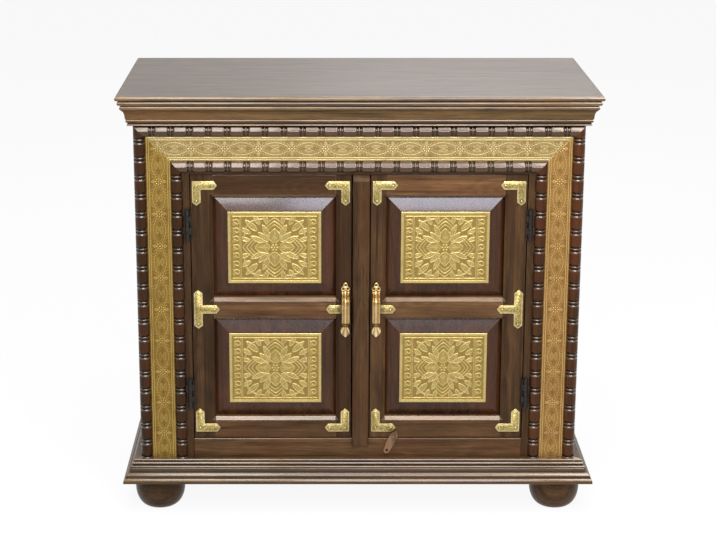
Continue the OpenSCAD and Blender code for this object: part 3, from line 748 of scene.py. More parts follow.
@dataclass(frozen=True)
class Carcass:
    """The case, its face frame and the plain boards."""

    ease: float = 0.9
    post_bevel: float = 2.4
    # Painted highlight: how much lighter the bottom rail's upper front edge is finished.
    rail_painted_highlight: float = 1.8

    @property
    def half(self) -> float:
        """Half the width over the case's sides."""
        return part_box("side_right")[1].x

    @property
    def face(self) -> float:
        """Where the face frame's front lies along Y."""
        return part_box("frame_header")[0].y

    @property
    def back(self) -> float:
        """Where the back lies along Y."""
        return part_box("back_panel")[1].y

    def build(self) -> None:
        """Eases the boards that show and finishes the rest."""
        boards = {
            "side_left": (Grain.UPRIGHT, 1, 1.0), "side_right": (Grain.UPRIGHT, 2, 1.0),
            "frame_stile_left": (Grain.UPRIGHT, 3, 0.7), "frame_stile_right": (Grain.UPRIGHT, 4, 0.7),
            "frame_header": (Grain.ACROSS, 5, 0.8), "bottom_rail": (Grain.ACROSS, 6, 1.0),
            "centre_post": (Grain.UPRIGHT, 7, 0.72),
        }
        for node, (grain, place, tone) in boards.items():
            self.board(node, Wood(WALNUT, grain, place, tone))
        for node, grain in {"back_panel": Grain.ACROSS, "bottom_board": Grain.ACROSS, "shelf": Grain.ACROSS,
                            "shelf_cleats": Grain.DEPTH, "foot_blocks": Grain.UPRIGHT,
                            "door_stops": Grain.ACROSS}.items():
            dress(node, Wood(INSIDE, grain, 1).material())
        for node in ("hinge_frame_leaves", "hinge_pins"):
            dress(node, iron_material())

    def board(self, node: str, wood: Wood) -> None:
        """Eases one board, the bottom rail's upper edge twice as much as the rest, with a painted highlight there.

        Args:
            node: The solid that it replaces.
            wood: Its wood.
        """
        bm = merged(node)
        accents = []
        if node == "centre_post":
            self.plane_off(bm)
        if node == "bottom_rail":
            soften(bm, 2 * self.ease, 4)
            # Painted highlight: the upper front edge gets a lighter, glossier copy of the sticking finish.
            pick_out(bm, lambda normal: 0.2 < normal.z < 0.9 and normal.y < -0.2)
            accents.append(Wood(STICKING, wood.grain, wood.log_place, self.rail_painted_highlight).material())
        else:
            soften(bm, self.ease)
        settle(bm, node + "_eased", Role(CABINET, "case_wood", (node,)), wood.material(), sharp=FLAT, accents=accents)

    def plane_off(self, bm: Shape) -> None:
        """Planes off the two long front edges of the centre post.

        Args:
            bm: The post.
        """
        front = min(v.co.y for v in bm.verts)
        edges = [e for e in bm.edges if all(v.co.y < front + MERGE for v in e.verts)
                 and abs(e.verts[0].co.z - e.verts[1].co.z) > 0.5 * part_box("centre_post")[1].z]
        bevel(bm, edges, self.post_bevel, 1)


@dataclass(frozen=True)
class TopBoard:
    """The top board, its edge moulded in three rounded tiers."""

    over: float = 32.0
    step: float = 4.2
    tiers: int = 3
    quirk: float = 0.25
    flat_tilt: float = 17.5
    flat_at: float = 0.955
    flat_share: float = 0.9

    def build(self) -> None:
        """Builds the board up from its underside, one level of its edge at a time."""
        low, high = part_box("top_board")
        thick = (high.z - low.z) / MM
        tier = thick / self.tiers
        nose = tier / 2 - self.quirk
        edge = [(self.over - (self.tiers - 1) * self.step - nose, 0.0)]
        for i in range(self.tiers - 1, -1, -1):
            middle = thick - (i + 0.5) * tier
            edge += self.sanded(self.over - i * self.step - nose, middle, nose,
                                arc(0, 0, 1, 1, -90 if i == self.tiers - 1 else -78, 78 if i else 90, 18))
        bm = bmesh.new()
        face = bm.faces.new([bm.verts.new(p) for p in self.corners(edge[0], low.z)])
        for point in edge[1:]:
            made = bmesh.ops.extrude_face_region(bm, geom=[face, *face.edges])
            face = next(g for g in made["geom"] if isinstance(g, bmesh.types.BMFace))
            for vert in face.verts:
                vert.co = next(c for c in self.corners(point, low.z) if c[0] * vert.co.x > 0 and c[1] * vert.co.y > 0)
        bmesh.ops.dissolve_degenerate(bm, edges=bm.edges, dist=MERGE)
        bm.normal_update()
        flats = [f for f in bm.faces if abs(f.normal.z) > 0.999 and f.calc_area() > 0.1]
        bmesh.ops.inset_individual(bm, faces=flats, thickness=MM)
        # Painted light: the edge faces take lightened copies of the moulding wood, three times at the front and 2.2
        # times at the sides, beside the darker flats.
        pick_out(bm, self.finish_of)
        settle(bm, "top_board_moulded", Role(CABINET, "case_wood", ("top_board",)),
               Wood(TOP, Grain.ACROSS, 8).material(), sharp=30,
               accents=(Wood(TRIM, Grain.ACROSS, 8, 3.0).material(), Wood(SIDE_TRIM, Grain.DEPTH, 8, 2.2).material()))

    @staticmethod
    def finish_of(normal: Vector) -> int:
        """Tells the board's flats (0) from its front edge (1) and its side edges (2).

        Args:
            normal: Which way a face looks.

        Returns:
            The number of its finish.
        """
        if abs(normal.z) >= 0.99 or normal.y >= 0.99:
            return 0
        return 2 if abs(normal.x) > abs(normal.y) + 0.01 else 1

    def sanded(self, x: float, y: float, radius: float, circle: Sequence[Point]) -> list[Point]:
        """Draws a rounded nose with a narrow flat a little above its front.

        Args:
            x: Its middle, outwards.
            y: Its middle, upwards.
            radius: Its radius.
            circle: The points of its arc, for a radius of 1.

        Returns:
            The nose's points.
        """
        tilt = math.radians(self.flat_tilt)
        points = []
        for u, v in circle:
            proud = max(u * math.cos(tilt) + v * math.sin(tilt) - self.flat_at, 0.0) * self.flat_share
            points.append((x + radius * (u - proud * math.cos(tilt)), y + radius * (v - proud * math.sin(tilt))))
        return points

    @staticmethod
    def corners(point: Point, low: float) -> list[Point3]:
        """Finds the board's four corners at one level of its edge.

        Args:
            point: How far the edge stands out there and its height over the underside, in millimetres.
            low: The underside's height in metres.

        Returns:
            The corners, in metres.
        """
        case = Carcass()
        out, z = point[0] * MM, low + point[1] * MM
        x, y = case.half + out, case.face - out
        return [(-x, y, z), (x, y, z), (x, case.back, z), (-x, case.back, z)]


@dataclass(frozen=True)
class Moulding:
    """A moulding along the front and both sides, in three mitred lengths."""

    name: str
    outline: tuple[Point, ...]
    log_place: int
    tone: float

    def build(self) -> None:
        """Builds the front length and the two side lengths."""
        case = Carcass()
        reach = max(out for out, _ in self.outline)
        for side, end in enumerate(("left", "front", "right"), -1):
            node = f"{self.name}_{end}"
            if side:
                bm = drawn_out(self.outline, "y", case.face - reach, case.back, side)
                cut(bm, (side * case.half, case.face, 0), (-side, -1, 0))
            else:
                bm = drawn_out(self.outline, "x", -case.half - reach, case.half + reach)
                cut(bm, (case.half, case.face, 0), (1, 1, 0))
                cut(bm, (-case.half, case.face, 0), (-1, 1, 0))
                pick_out(bm, lambda normal: normal.z > 0.1)
            grain = Grain.DEPTH if side else Grain.ACROSS
            settle(bm, node + "_moulded", Role(CABINET, "moulding_wood", (node,)),
                   Wood(SIDE_TRIM if side else COVE, grain, self.log_place + side, self.tone).material(), sharp=30,
                   accents=() if side else (Wood(TRIM, grain, self.log_place, self.tone).material(),))


def crown() -> Moulding:
    """Draws the crown: a cove over a fillet and a neck.

    Returns:
        The moulding, its outline clockwise from the top of its back.
    """
    low, high = (v.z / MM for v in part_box("crown_front"))
    out, cove_w, cove_h, quirk = 20.5, 6.5, 18.4, 1.5
    fillet = out - cove_w - quirk
    under = high - cove_h - quirk
    points = [(0, high), (out, high), *arc(out, high - cove_h, cove_w, cove_h - 1, 90, 180),
              (fillet - 1.0, under), (fillet - 0.2, under - 0.3),
              (fillet + 0.4, under - 2.1), (fillet + 0.5, under - 2.5),
              *arc(fillet - 0.4, under - 4.6, 0.8, 0.8, 0, -80, 4),
              (fillet - 3, under - 7.0), (fillet - 3, low + 3.5), (fillet - 2.1, low + 3.2),
              (fillet - 1.5, low + 1.2), (fillet - 1.8, low + 0.4), (fillet - 3, low), (0, low)]
    return Moulding("crown", tuple((x * MM, z * MM) for x, z in points), log_place=20, tone=3.0)


def bead(x: float, z: float, radius: float) -> list[Point]:
    """Draws a bead with a narrow flat sanded on the upper half of its front.

    Args:
        x: Its middle, outwards.
        z: Its middle, upwards.
        radius: Its radius.

    Returns:
        Its points, from the top down.
    """
    flat = [(0.696, 0.667), (0.942, 0.204)]
    return [*arc(x, z, radius, radius, 84, 50, 4), *((x + radius * u, z + radius * v) for u, v in flat),
            *arc(x, z, radius, radius, 6, -75, 6)]


def base() -> Moulding:
    """Draws the base: three beads, a neck, a thumb moulding and a foot with a sloped flat.

    Returns:
        The moulding, its outline clockwise from the top of its back.
    """
    low, high = (v.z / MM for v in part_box("base_front"))
    out, foot_h, bead_a, bead_b = 36.0, 9.5, 3.4, 2.7
    thumb = out - 5.5
    b_x = thumb - 12.0
    a_x = b_x + bead_b - 3 - bead_a
    b_z = high - 2 * bead_a - 0.6 - bead_b
    points = [(0, high + 5.6), *bead(a_x - 2.2, high + 3.0, 2.6), *bead(a_x, high - bead_a, bead_a),
              *bead(b_x, b_z, bead_b),
              (thumb - 10.0, low + 27.5), (thumb - 9.2, low + 20.6), (thumb - 4.8, low + 22.2),
              (thumb - 3.6, low + 22.0), *arc(thumb - 11.35, low + 11.4, 12, 12, 46, 20, 8),
              *arc(thumb - 3, low + 13.3, 3, 3, 10, -70, 8), (thumb - 1.6, low + foot_h),
              *arc(out - 4.4, low + 8.4, 2.4, 2.4, 80, 40, 3), (out - 2.2, low + 9.3),
              (out - 0.6, low + 6.3), (out, low + 5.0), (out, low + 0.6), (out - 0.6, low), (0, low)]
    return Moulding("base", tuple((x * MM, z * MM) for x, z in points), log_place=23, tone=1.7)


@dataclass(frozen=True)
class Bobbins:
    """Half-round turned strips: barrels parted by a groove, a thin ring and a groove."""

    radius: float = 12.0
    pitch: float = 37.5
    ring: float = 5.0
    groove: float = 2.75
    drop: float = 0.5
    shoulder: float = 4.6
    overlap: float = 0.6
    flat_tilt: float = 28.0
    flat_at: float = 0.89
    flat_share: float = 0.6
    # Painted shade in the grooves: it starts this far under the barrel's radius and is full this much deeper.
    shade_from: float = 1.2
    shade_over: float = 1.6
    top_ring: float = 17.5
    steps: int = 22
    level_tone: float = 1.15
    side_tone: float = 0.25
    log_place: int = 26

    def outline(self, low: float, high: float, rings: Iterable[float]) -> list[Point]:
        """Draws the outline that is turned.

        Args:
            low: Where it starts, in millimetres.
            high: Where it ends.
            rings: The places of its thin rings.

        Returns:
            Points of (radius, place) in metres.
        """
        neck = self.radius - self.drop - self.ring / 2
        fall = self.radius - neck
        span = self.ring / 2 + self.groove - self.overlap + self.shoulder
        points: list[Point] = [(self.radius, low)]
        for z in rings:
            points += arc(neck, z - span, fall, self.shoulder, 0, 90, 9)
            points += arc(neck, z, self.ring / 2, self.ring / 2, -90, 90, 10)
            points += arc(neck, z + span, fall, self.shoulder, -90, 0, 9)
        points.append((self.radius, high))
        return [(r * MM, z * MM) for r, z in points]

    def rings(self, low: float, high: float, first: float) -> list[float]:
        """Places of the rings between low and high, at every pitch from the first."""
        start = math.ceil((low - first) / self.pitch)
        return [first + i * self.pitch for i in range(start, math.floor((high - first) / self.pitch) + 1)]

    def strip(self, node: str, side: int, place: int) -> None:
        """Builds one strip over its solid.

        Args:
            node: The solid that it replaces.
            side: 0 for a strip across the top, -1 or 1 for an upright one.
            place: Its place in the log.
        """
        low, high = (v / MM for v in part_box(node))
        face = Carcass().face
        width = 2 * self.radius
        if side == 0:
            start, end = -high.x, high.x
            rings = self.rings(start + width, end - width, 0)
        else:
            start, end = low.z, high.z
            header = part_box("bobbin_outer_top")[0].z / MM + self.radius - self.top_ring
            rings = self.rings(start + self.ring / 2, end - width, header)
        bm = turned(self.outline(start - 2 * width, end + 2 * width, rings), 180, self.steps)
        # Painted shade in the grooves and round the rings.
        dark = bm.verts.layers.float.new(PAINTED_SHADE)
        for vert in bm.verts:
            deep = self.radius - self.shade_from - math.hypot(vert.co.x, vert.co.y) / MM
            vert[dark] = clamp(deep / self.shade_over) if vert.co.y < -MERGE else 0.0
        if side == 0:
            wood, accents = Wood(BOBBIN, Grain.ACROSS, place, self.level_tone), ()
            self.flatten(bm)
            quarter_turn(bm, "Y")
            shift(bm, (0, face, (low.z + high.z) / 2 * MM))
            for way in (-1, 1):
                cut(bm, (way * high.x * MM, face, high.z * MM), (way, 0, -1))
        else:
            wood = Wood(UPRIGHT_BOBBIN, Grain.UPRIGHT, place, 1.0 + self.side_tone * side)
            accents = (replace(wood, stain=SHOULDER).material(),)
            shift(bm, ((low.x + high.x) / 2 * MM, face, 0))
            cut(bm, (0, face, low.z * MM), (0, 0, -1))
            outer = high.x if side > 0 else low.x
            cut(bm, (outer * MM, face, high.z * MM), (-side, 0, 1))
            pick_out(bm, lambda normal: normal.z > 0.1 and normal.y < -0.1)
        settle(bm, node + "_turned", Role(CABINET, "moulding_wood", (node,)), wood.material(), sharp=40,
               accents=accents)

    def flatten(self, bm: Shape) -> None:
        """Sands a narrow flat along the barrels of a level strip, a little above its front.

        Args:
            bm: The strip, still upright, with its upper side towards -X.
        """
        tilt = math.radians(self.flat_tilt)
        facing = Vector((-math.sin(tilt), -math.cos(tilt), 0))
        limit = self.flat_at * self.radius * MM
        for vert in bm.verts:
            proud = vert.co.dot(facing) - limit
            if proud > 0:
                vert.co -= facing * proud * self.flat_share

    def build(self) -> None:
        """Builds the six strips."""
        sides = {"left": -1, "right": 1, "top": 0}
        for i, (ring, (end, side)) in enumerate(product(("outer", "inner"), sides.items())):
            self.strip(f"bobbin_{ring}_{end}", side, self.log_place + i)


@dataclass(frozen=True)
class Foot:
    """A turned bun foot with its dowel."""

    radius: float = 52.0
    flat: float = 26.0
    belly: float = 43.0
    neck: float = 9.0
    height: float = 70.0
    dowel: Point = (10.0, 30.0)
    left_tone: float = 0.57
    right_tone: float = 0.85
    log_place: int = 40

    def build(self) -> None:
        """Builds the four feet."""
        points = [(0.0, 0.0), (self.flat - 1.5, 0.0),
                  *arc(self.flat, self.belly, self.radius - self.flat, self.belly, -88, 0, 20),
                  *arc(self.radius - self.neck, self.belly, self.neck, self.height - self.belly, 6, 90, 12),
                  (self.dowel[0], self.height), (self.dowel[0], self.height + self.dowel[1]),
                  (0.0, self.height + self.dowel[1])]
        for i, name in enumerate(("front_left", "front_right", "back_left", "back_right")):
            node = "foot_" + name
            low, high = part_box(node)
            bm = turned([(r * MM, z * MM) for r, z in points], 360, 72)
            shift(bm, ((low.x + high.x) / 2, (low.y + high.y) / 2, 0))
            tone = self.left_tone if name.endswith("left") else self.right_tone
            settle(bm, node + "_turned", Role(CABINET, "moulding_wood", (node,)),
                   Wood(WALNUT, Grain.ACROSS, self.log_place + i, tone).material(), sharp=50)


# ---- Embossed brass


def ridge(distance: Array, width: float) -> Array:
    """A rounded ridge, 1 at no distance."""
    return np.exp(-((distance / width) ** 2))


def between(value: Array, low: float, high: float, soft: float = 1.5) -> Array:
    """1 between low and high, fading to 0 over the soft margin on both sides."""
    return np.clip((value - low) / soft + 0.5, 0, 1) * np.clip((high - value) / soft + 0.5, 0, 1)


def petal(a: Array, b: Array, start: float, end: float, half: float, line: float,
          fill: float = 0.45) -> Array:
    """A pointed leaf along +a: a raised outline, a swell inside it and a vein.

    Args:
        a: Distance along the leaf.
        b: Distance across it.
        start: Where it starts.
        end: Where it ends.
        half: Half its greatest width.
        line: Width of its raised lines.
        fill: Height of the swell inside it.

    Returns:
        Its height, up to about 1.
    """
    share = np.clip((a - start) / (end - start), 0, 1)
    edge = half * np.sin(np.pi * share ** 0.85)
    inside = between(a, start, end, 2.0)
    swell = np.clip(1 - (b / np.maximum(edge, 0.5)) ** 2, 0, 1) * fill
    return inside * np.maximum(np.maximum(ridge(np.abs(b) - edge, line), swell),
                               0.8 * ridge(b, line * 0.8) * between(share, 0.15, 0.8, 0.1))


@dataclass(frozen=True)
class PlatePattern:
    """The embossing of a door plate: a four-petalled flower in a frame, with a strip of curls at each side."""

    width: float
    height: float
    depth: float = 1.0

    @staticmethod
    def flower(u: Array, v: Array) -> Array:
        """Draws the flower, the arches round its petals and the leaves between them.

        Args:
            u: Distance from the middle, across. The drawing ends at 57 each way.
            v: Distance from the middle, upwards.

        Returns:
            The height, from 0 to about 1.
        """
        raised = np.zeros_like(u)
        for k in range(4):
            turn = math.radians(90 * k)
            a = u * math.cos(turn) + v * math.sin(turn)
            b = v * math.cos(turn) - u * math.sin(turn)
            side = np.abs(b)
            raised = np.maximum(raised, petal(a, b, 8, 35, 10.5, 1.2))
            raised = np.maximum(raised, 0.9 * ridge((a - 21 + 1.25 * side) / 1.5, 1.0) * between(side, -5, 5))
            for reach, strength in ((42.0, 0.7), (48.5, 1.0), (55.0, 0.8)):
                arch = a + 0.022 * side ** 2 + 0.55 * side - reach
                raised = np.maximum(raised, strength * ridge(arch, 1.25) * between(side, -5, 0.4 * reach))
            c, d = (a + b) / math.sqrt(2), (b - a) / math.sqrt(2)
            for spread, start, end, half in ((0.0, 15, 40, 4.0), (0.32, 21, 47, 4.0), (-0.32, 21, 47, 4.0),
                                             (0.0, 43, 72, 4.4), (0.24, 49, 70, 3.4), (-0.24, 49, 70, 3.4),
                                             (0.5, 45, 66, 3.2), (-0.5, 45, 66, 3.2)):
                e = c * math.cos(spread) + d * math.sin(spread)
                f = d * math.cos(spread) - c * math.sin(spread)
                raised = np.maximum(raised, petal(e, f, start, end, half, 1.1, 0.3))
            corner = (u ** 4 + v ** 4) ** 0.25
            raised = np.maximum(raised, 0.9 * ridge(corner - 53.0, 1.3) * between(side, 20, 60) * between(a, 20, 60))
        r, angle = np.hypot(u, v), np.arctan2(v, u)
        star = ridge(r - 5.0, 2.0) * (0.5 + 0.5 * np.cos(6 * angle))
        return np.maximum(raised * (r > 7.8), np.maximum(star, ridge(r, 1.5)))

    @staticmethod
    def curls(across: Array, along: Array) -> Array:
        """Draws a stack of curled leaves over a strip 16 mm wide.

        Args:
            across: Millimetres from the strip's middle line.
            along: Millimetres along the strip.

        Returns:
            The height, from 0 to about 1.
        """
        pitch = 17.5
        near = (along / pitch + 0.5) % 1 * pitch - pitch / 2
        r = np.hypot(across - 1.5, near)
        angle = np.arctan2(near, across - 1.5)
        curl = ridge(r - 4.6 - 0.75 * angle, 1.15) * between(r, -1, 8.2)
        leaf = petal(near * 0.7 + across * 0.7 + 9.0, across * 0.7 - near * 0.7, 0, 8.5, 2.2, 1.0)
        return np.maximum.reduce([curl, 0.8 * leaf, ridge(np.hypot(across + 5.5, near - 5.0), 1.5)])

    def __call__(self, u: Array, v: Array) -> Array:
        """Draws the whole plate.

        Args:
            u: Millimetres from the plate's middle, across.
            v: Millimetres from the plate's middle, upwards.

        Returns:
            The lift in millimetres.
        """
        edge = np.minimum(self.width / 2 - np.abs(u), self.height / 2 - np.abs(v))
        rim = 0.75 * between(edge, -5, 6.0, 1.6)
        strip = self.width / 2 - 17.0
        inner = self.width / 2 - 27.0
        flower = self.flower(u * 56.0 / (inner - 3), v * 56.0 / (self.height / 2 - 12))
        flower *= between(np.abs(u), -5, inner - 2.5) * between(np.abs(v), -5, self.height / 2 - 12)
        lines = np.maximum(0.8 * ridge(np.abs(u) - inner, 0.9), 0.6 * ridge(np.abs(u) - inner - 2.8, 0.9))
        lines *= between(np.abs(v), -5, self.height / 2 - 10)
        ends = 0.9 * ridge(np.abs(v) - self.height / 2 + 10.0, 1.1) * between(np.abs(u), -5, self.width / 2 - 9)
        curls = 0.85 * self.curls(np.sign(u) * (np.abs(u) - strip), v) * between(np.abs(np.abs(u) - strip), -5, 7.5)
        raised = np.maximum.reduce([flower, lines, ends, curls * between(np.abs(v), -5, self.height / 2 - 11)])
        punched = 0.08 * np.sin(u * 1.7) * np.sin(v * 1.9)
        return self.depth * np.maximum(raised * between(edge, 7.5, 500), rim) + punched


@dataclass(frozen=True)
class BandPattern:
    """The embossing of a band: rosettes joined by diagonal sprays of leaves, in a ribbed border."""

    width: float
    pitch: float = 67.0
    depth: float = 0.85

    def __call__(self, s: Array, t: Array) -> Array:
        """Draws the band.

        Args:
            s: Millimetres along the band.
            t: Millimetres across it, from its middle line.

        Returns:
            The lift in millimetres.
        """
        near = (s / self.pitch + 0.5) % 1 * self.pitch - self.pitch / 2
        away, up = np.abs(near), np.abs(t)
        r, angle = np.hypot(near, t), np.arctan2(t, near)
        flower = np.maximum(1.1 * ridge(r - 5.6, 1.9) * (0.4 + 0.6 * np.cos(8 * angle)), 1.1 * ridge(r, 1.5))
        circle = 0.45 * ridge(r - 9.6, 0.9)
        vine_t = 12.5 * np.sin(np.pi * away / self.pitch)
        vine = 0.7 * ridge(up - vine_t, 1.0) * (r > 10)
        strokes = ((away - 0.9 * np.abs(up - 5.0)) / 4.4 + 0.25) % 1 - 0.5
        leaves = 0.55 * ridge(strokes * 4.4 + 0.05 * (up - vine_t) ** 2, 0.9)
        leaves *= between(np.abs(up - vine_t), 1.8, 9.0, 1.2) * (r > 11)
        heart = 0.55 * petal(self.pitch / 2 - away, up - 3.9, -5, 9, 2.4, 0.9, 0.0)
        seed = 0.7 * ridge(np.hypot(away - self.pitch / 2, t), 1.5)
        tips = petal(up - 6.8, away, 0, 8.2, 2.2, 1.0, 0.2)
        middle = np.maximum.reduce([flower, circle, vine, leaves, heart, seed, 0.7 * tips])
        edge = self.width / 2 - up
        line = 0.95 * ridge(edge - 6.2, 0.8)
        ribs = 0.95 * ridge(edge - 2.2, 1.2) * (0.8 + 0.2 * np.cos(2 * np.pi * s / 4.6))
        ground = 0.1 + 0.1 * np.sin(s * 2.3) * np.sin(t * 2.6)
        return self.depth * np.maximum.reduce([middle * between(edge, 7.8, 500, 1.0), line, ribs, ground])


def sheet(low: Vector, high: Vector, step: float) -> Shape:
    """Lays out a flat grid that faces -Y.

    Args:
        low: The sheet's lowest corner; its front lies at this corner's y.
        high: The highest corner.
        step: Size of a square, in millimetres.

    Returns:
        The open grid.
    """
    width, height = high.x - low.x, high.z - low.z
    bm = bmesh.new()
    bmesh.ops.create_grid(bm, x_segments=round(width / MM / step), y_segments=round(height / MM / step), size=0.5)
    bmesh.ops.scale(bm, verts=bm.verts, vec=(width, height, 1))
    quarter_turn(bm, "X")
    shift(bm, ((low.x + high.x) / 2, low.y, (low.z + high.z) / 2))
    return bm


def backed(bm: Shape, thick: float) -> None:
    """Marks a sheet's inner points for embossing, then gives it edges and a back.

    Args:
        bm: The open grid.
        thick: Its thickness in metres.
    """
    mark = bm.verts.layers.float.new(RELIEF)
    for vert in bm.verts:
        vert[mark] = 0.0 if vert.is_boundary else 1.0
    made = bmesh.ops.extrude_edge_only(bm, edges=[e for e in bm.edges if e.is_boundary])
    rim = points_of(made)
    for vert in rim:
        vert[mark] = 0.0
    bmesh.ops.translate(bm, verts=rim, vec=(0, thick, 0))
    close(bm)


@dataclass(frozen=True)
class BrassBands:
    """The three embossed bands between the bobbins, mitred at the corners."""

    step: float = 1.0

    def build(self) -> None:
        """Builds the top band and the two side bands."""
        # Painted light: each band takes its own lighter or darker copy of the brass.
        finishes = {"left": LEFT_SHEET, "top": TOP_SHEET, "right": RIGHT_SHEET}
        for side, (end, finish) in enumerate(finishes.items(), -1):
            node = f"brass_band_{end}"
            low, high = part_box(node)
            bm = sheet(low, high, self.step)
            width = (high.z - low.z if side == 0 else high.x - low.x) / MM
            for way in ((-1, 1) if side == 0 else (side,)):
                corner = (high.x if way > 0 else low.x, low.y, high.z)
                cut(bm, corner, (way, 0, -1) if side == 0 else (-way, 0, 1), capped=False)
            backed(bm, high.y - low.y)
            settle(bm, node + "_embossed", Role(CABINET, "embossed_brass", (node,)), finish.material(), sharp=60,
                   relief=self.laid(BandPattern(width), low, high, side))

    @staticmethod
    def laid(pattern: BandPattern, low: Vector, high: Vector, side: int) -> Field:
        """Lays the pattern along one band, whichever way the band runs.

        Args:
            pattern: The pattern.
            low: The band's lowest corner.
            high: Its highest corner.
            side: 0 for the top band, -1 or 1 for a side one.

        Returns:
            The lift by x and z.
        """
        x, z = (low.x + high.x) / 2, (low.z + high.z) / 2
        if side == 0:
            return lambda px, pz: pattern((px - x) / MM, (pz - z) / MM)
        return lambda px, pz: pattern((pz - high.z) / MM + pattern.width / 2, (px - x) / MM)


# ---- Doors


def sloped(normal: Vector) -> bool:
    """Tells whether a face of a door's joinery slopes towards a panel."""
    return 0.25 < -normal.y < 0.95


@dataclass(frozen=True)
class Door:
    """One door with its panels, plates, brackets, handle and hinge leaves. Its knot is a place on the top rail."""

    name: str
    hand: int
    log_place: int
    top_tone: float
    hinge_tone: float
    meeting_tone: float
    knot: Point
    ease: float = 0.8
    plate_step: float = 0.9
    slope_at: float = 0.42
    slope_lift: float = 6.8
    # Painted highlight: how much lighter the rails' sloped sticking faces are finished.
    sticking_painted_highlight: float = 3.1
    border: float = 1.8
    border_slope: float = 0.8
    swell: float = 0.7
    edge_tone: float = 0.7
    border_tone: float = 0.4
    nail_radius: float = 2.2
    nail_sunk: float = 0.5
    nail_tones: Point = (1.0, -0.5)
    nail_in: float = 9.0
    nail_out: float = 41.0
    tee_half: float = 31.0

    @property
    def body(self) -> str:
        """The body that the door is."""
        return self.name + "_door"

    def node(self, part: str) -> str:
        """The name of one of its solids."""
        return f"door_{self.name}_{part}"

    def build(self) -> None:
        """Builds everything on the door."""
        self.joinery()
        self.plates()
        self.brackets()
        Handle(self).build()
        dress(self.node("hinge_leaves"), iron_material())

    def joinery(self) -> None:
        """Builds the stiles, rails and raised panels."""
        parts = {
            "hinge_stile": (Grain.UPRIGHT, self.hinge_tone), "meeting_stile": (Grain.UPRIGHT, self.meeting_tone),
            "top_rail": (Grain.ACROSS, self.top_tone), "middle_rail": (Grain.ACROSS, 1.4),
            "bottom_rail": (Grain.ACROSS, 0.95), "upper_panel": (Grain.UPRIGHT, 1.0),
            "lower_panel": (Grain.UPRIGHT, 1.0),
        }
        for i, (part, (grain, tone)) in enumerate(parts.items()):
            node = self.node(part)
            bm = merged(node)
            accents = []
            if part.endswith("panel"):
                wood, slot = Wood(PANEL, grain, self.log_place + i, tone), "panel_wood"
                soften(bm, self.ease)
                pick_out(bm, lambda normal: sloped(normal) and normal.z > 0.1)
                accents.append(replace(wood, stain=BEVEL).material())
            else:
                knot = self.knot if part == "top_rail" else None
                wood, slot = Wood(WALNUT, grain, self.log_place + i, tone, knot), "case_wood"
                self.stick(bm)
                soften(bm, self.ease)
            # Painted highlight: the rails' sloped faces get a much lighter copy of the sticking finish.
            if part.endswith("rail"):
                pick_out(bm, sloped)
                accents.append(Wood(STICKING, grain, self.log_place + i, self.sticking_painted_highlight).material())
            settle(bm, node + "_eased", Role(self.body, slot, (node,)), wood.material(), sharp=FLAT, accents=accents)

    def stick(self, bm: Shape) -> None:
        """Works the sloped edge round a panel into a slope at 45 degrees and a steep quirk behind it.

        Args:
            bm: A stile or a rail.
        """
        ends = {e for f in bm.faces if sloped(f.normal) for e in f.edges
                if abs(e.verts[0].co.y - e.verts[1].co.y) > 5 * MM}
        falls = {}
        for edge in ends:
            front, back = sorted(edge.verts, key=lambda v: v.co.y)
            falls[tuple(round(c, 6) for c in (front.co + back.co) / 2)] = back.co - front.co
        made = bmesh.ops.subdivide_edges(bm, edges=list(ends), cuts=1)
        for vert in set(points_of(made, "geom_inner")):
            vert.co += falls[tuple(round(c, 6) for c in vert.co)] * self.slope_at
            vert.co.y -= self.slope_lift * MM

    def plates(self) -> None:
        """Builds the two embossed plates."""
        low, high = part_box(self.node("brass_plates"))
        tall = self.plate_height()
        for part, z in (("upper", high.z - tall), ("lower", low.z)):
            a, b = Vector((low.x, low.y, z)), Vector((high.x, high.y, z + tall))
            bm = sheet(a, b, self.plate_step)
            backed(bm, b.y - a.y)
            pattern = PlatePattern((b.x - a.x) / MM, tall / MM)
            x, mid = (a.x + b.x) / 2, (a.z + b.z) / 2
            nodes = (self.node("brass_plates"),) if part == "upper" else ()
            settle(bm, f"{self.node(part)}_plate", Role(self.body, "embossed_brass", nodes), SHEET.material(),
                   sharp=60, relief=lambda px, pz, p=pattern, x=x, mid=mid: p((px - x) / MM, (pz - mid) / MM))

    def plate_height(self) -> float:
        """Measures one plate in the solid that both share.

        Returns:
            Its height in metres.
        """
        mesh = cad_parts[self.node("brass_plates")].data
        levels = sorted({round(v.co.z, 5) for v in mesh.vertices})
        return levels[1] - levels[0]

    def brackets(self) -> None:
        """Builds the six brackets with a raised border and round-headed nails."""
        node = self.node("brackets")
        bm = merged(node)
        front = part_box(node)[0].y
        outer = {e for f in bm.faces if f.normal.y < -0.9 for e in f.edges}
        bevel(bm, list(outer), self.swell, 3)
        faces = [f for f in bm.faces if f.normal.y < -0.999 and f.calc_area() > 1e-4]
        tone = bm.verts.layers.float.new(RELIEF)
        for vert in bm.verts:
            vert[tone] = self.edge_tone
        bmesh.ops.inset_region(bm, faces=faces, thickness=self.border * MM, depth=0, use_even_offset=True)
        inner = {v for f in faces for v in f.verts}
        bmesh.ops.inset_region(bm, faces=faces, thickness=self.border_slope * MM, depth=0, use_even_offset=True)
        for vert in {v for f in faces for v in f.verts}:
            vert.co.y -= self.swell * MM
            vert[tone] = 1.0
        for vert in inner:
            vert[tone] = self.border_tone
        for x, z in self.nail_places():
            join(bm, nail((x * MM, front - self.nail_sunk * MM, z * MM), self.nail_radius, *self.nail_tones))
        settle(bm, node + "_cast", Role(self.body, "cast_brass", (node,)), CAST.material(), sharp=35)

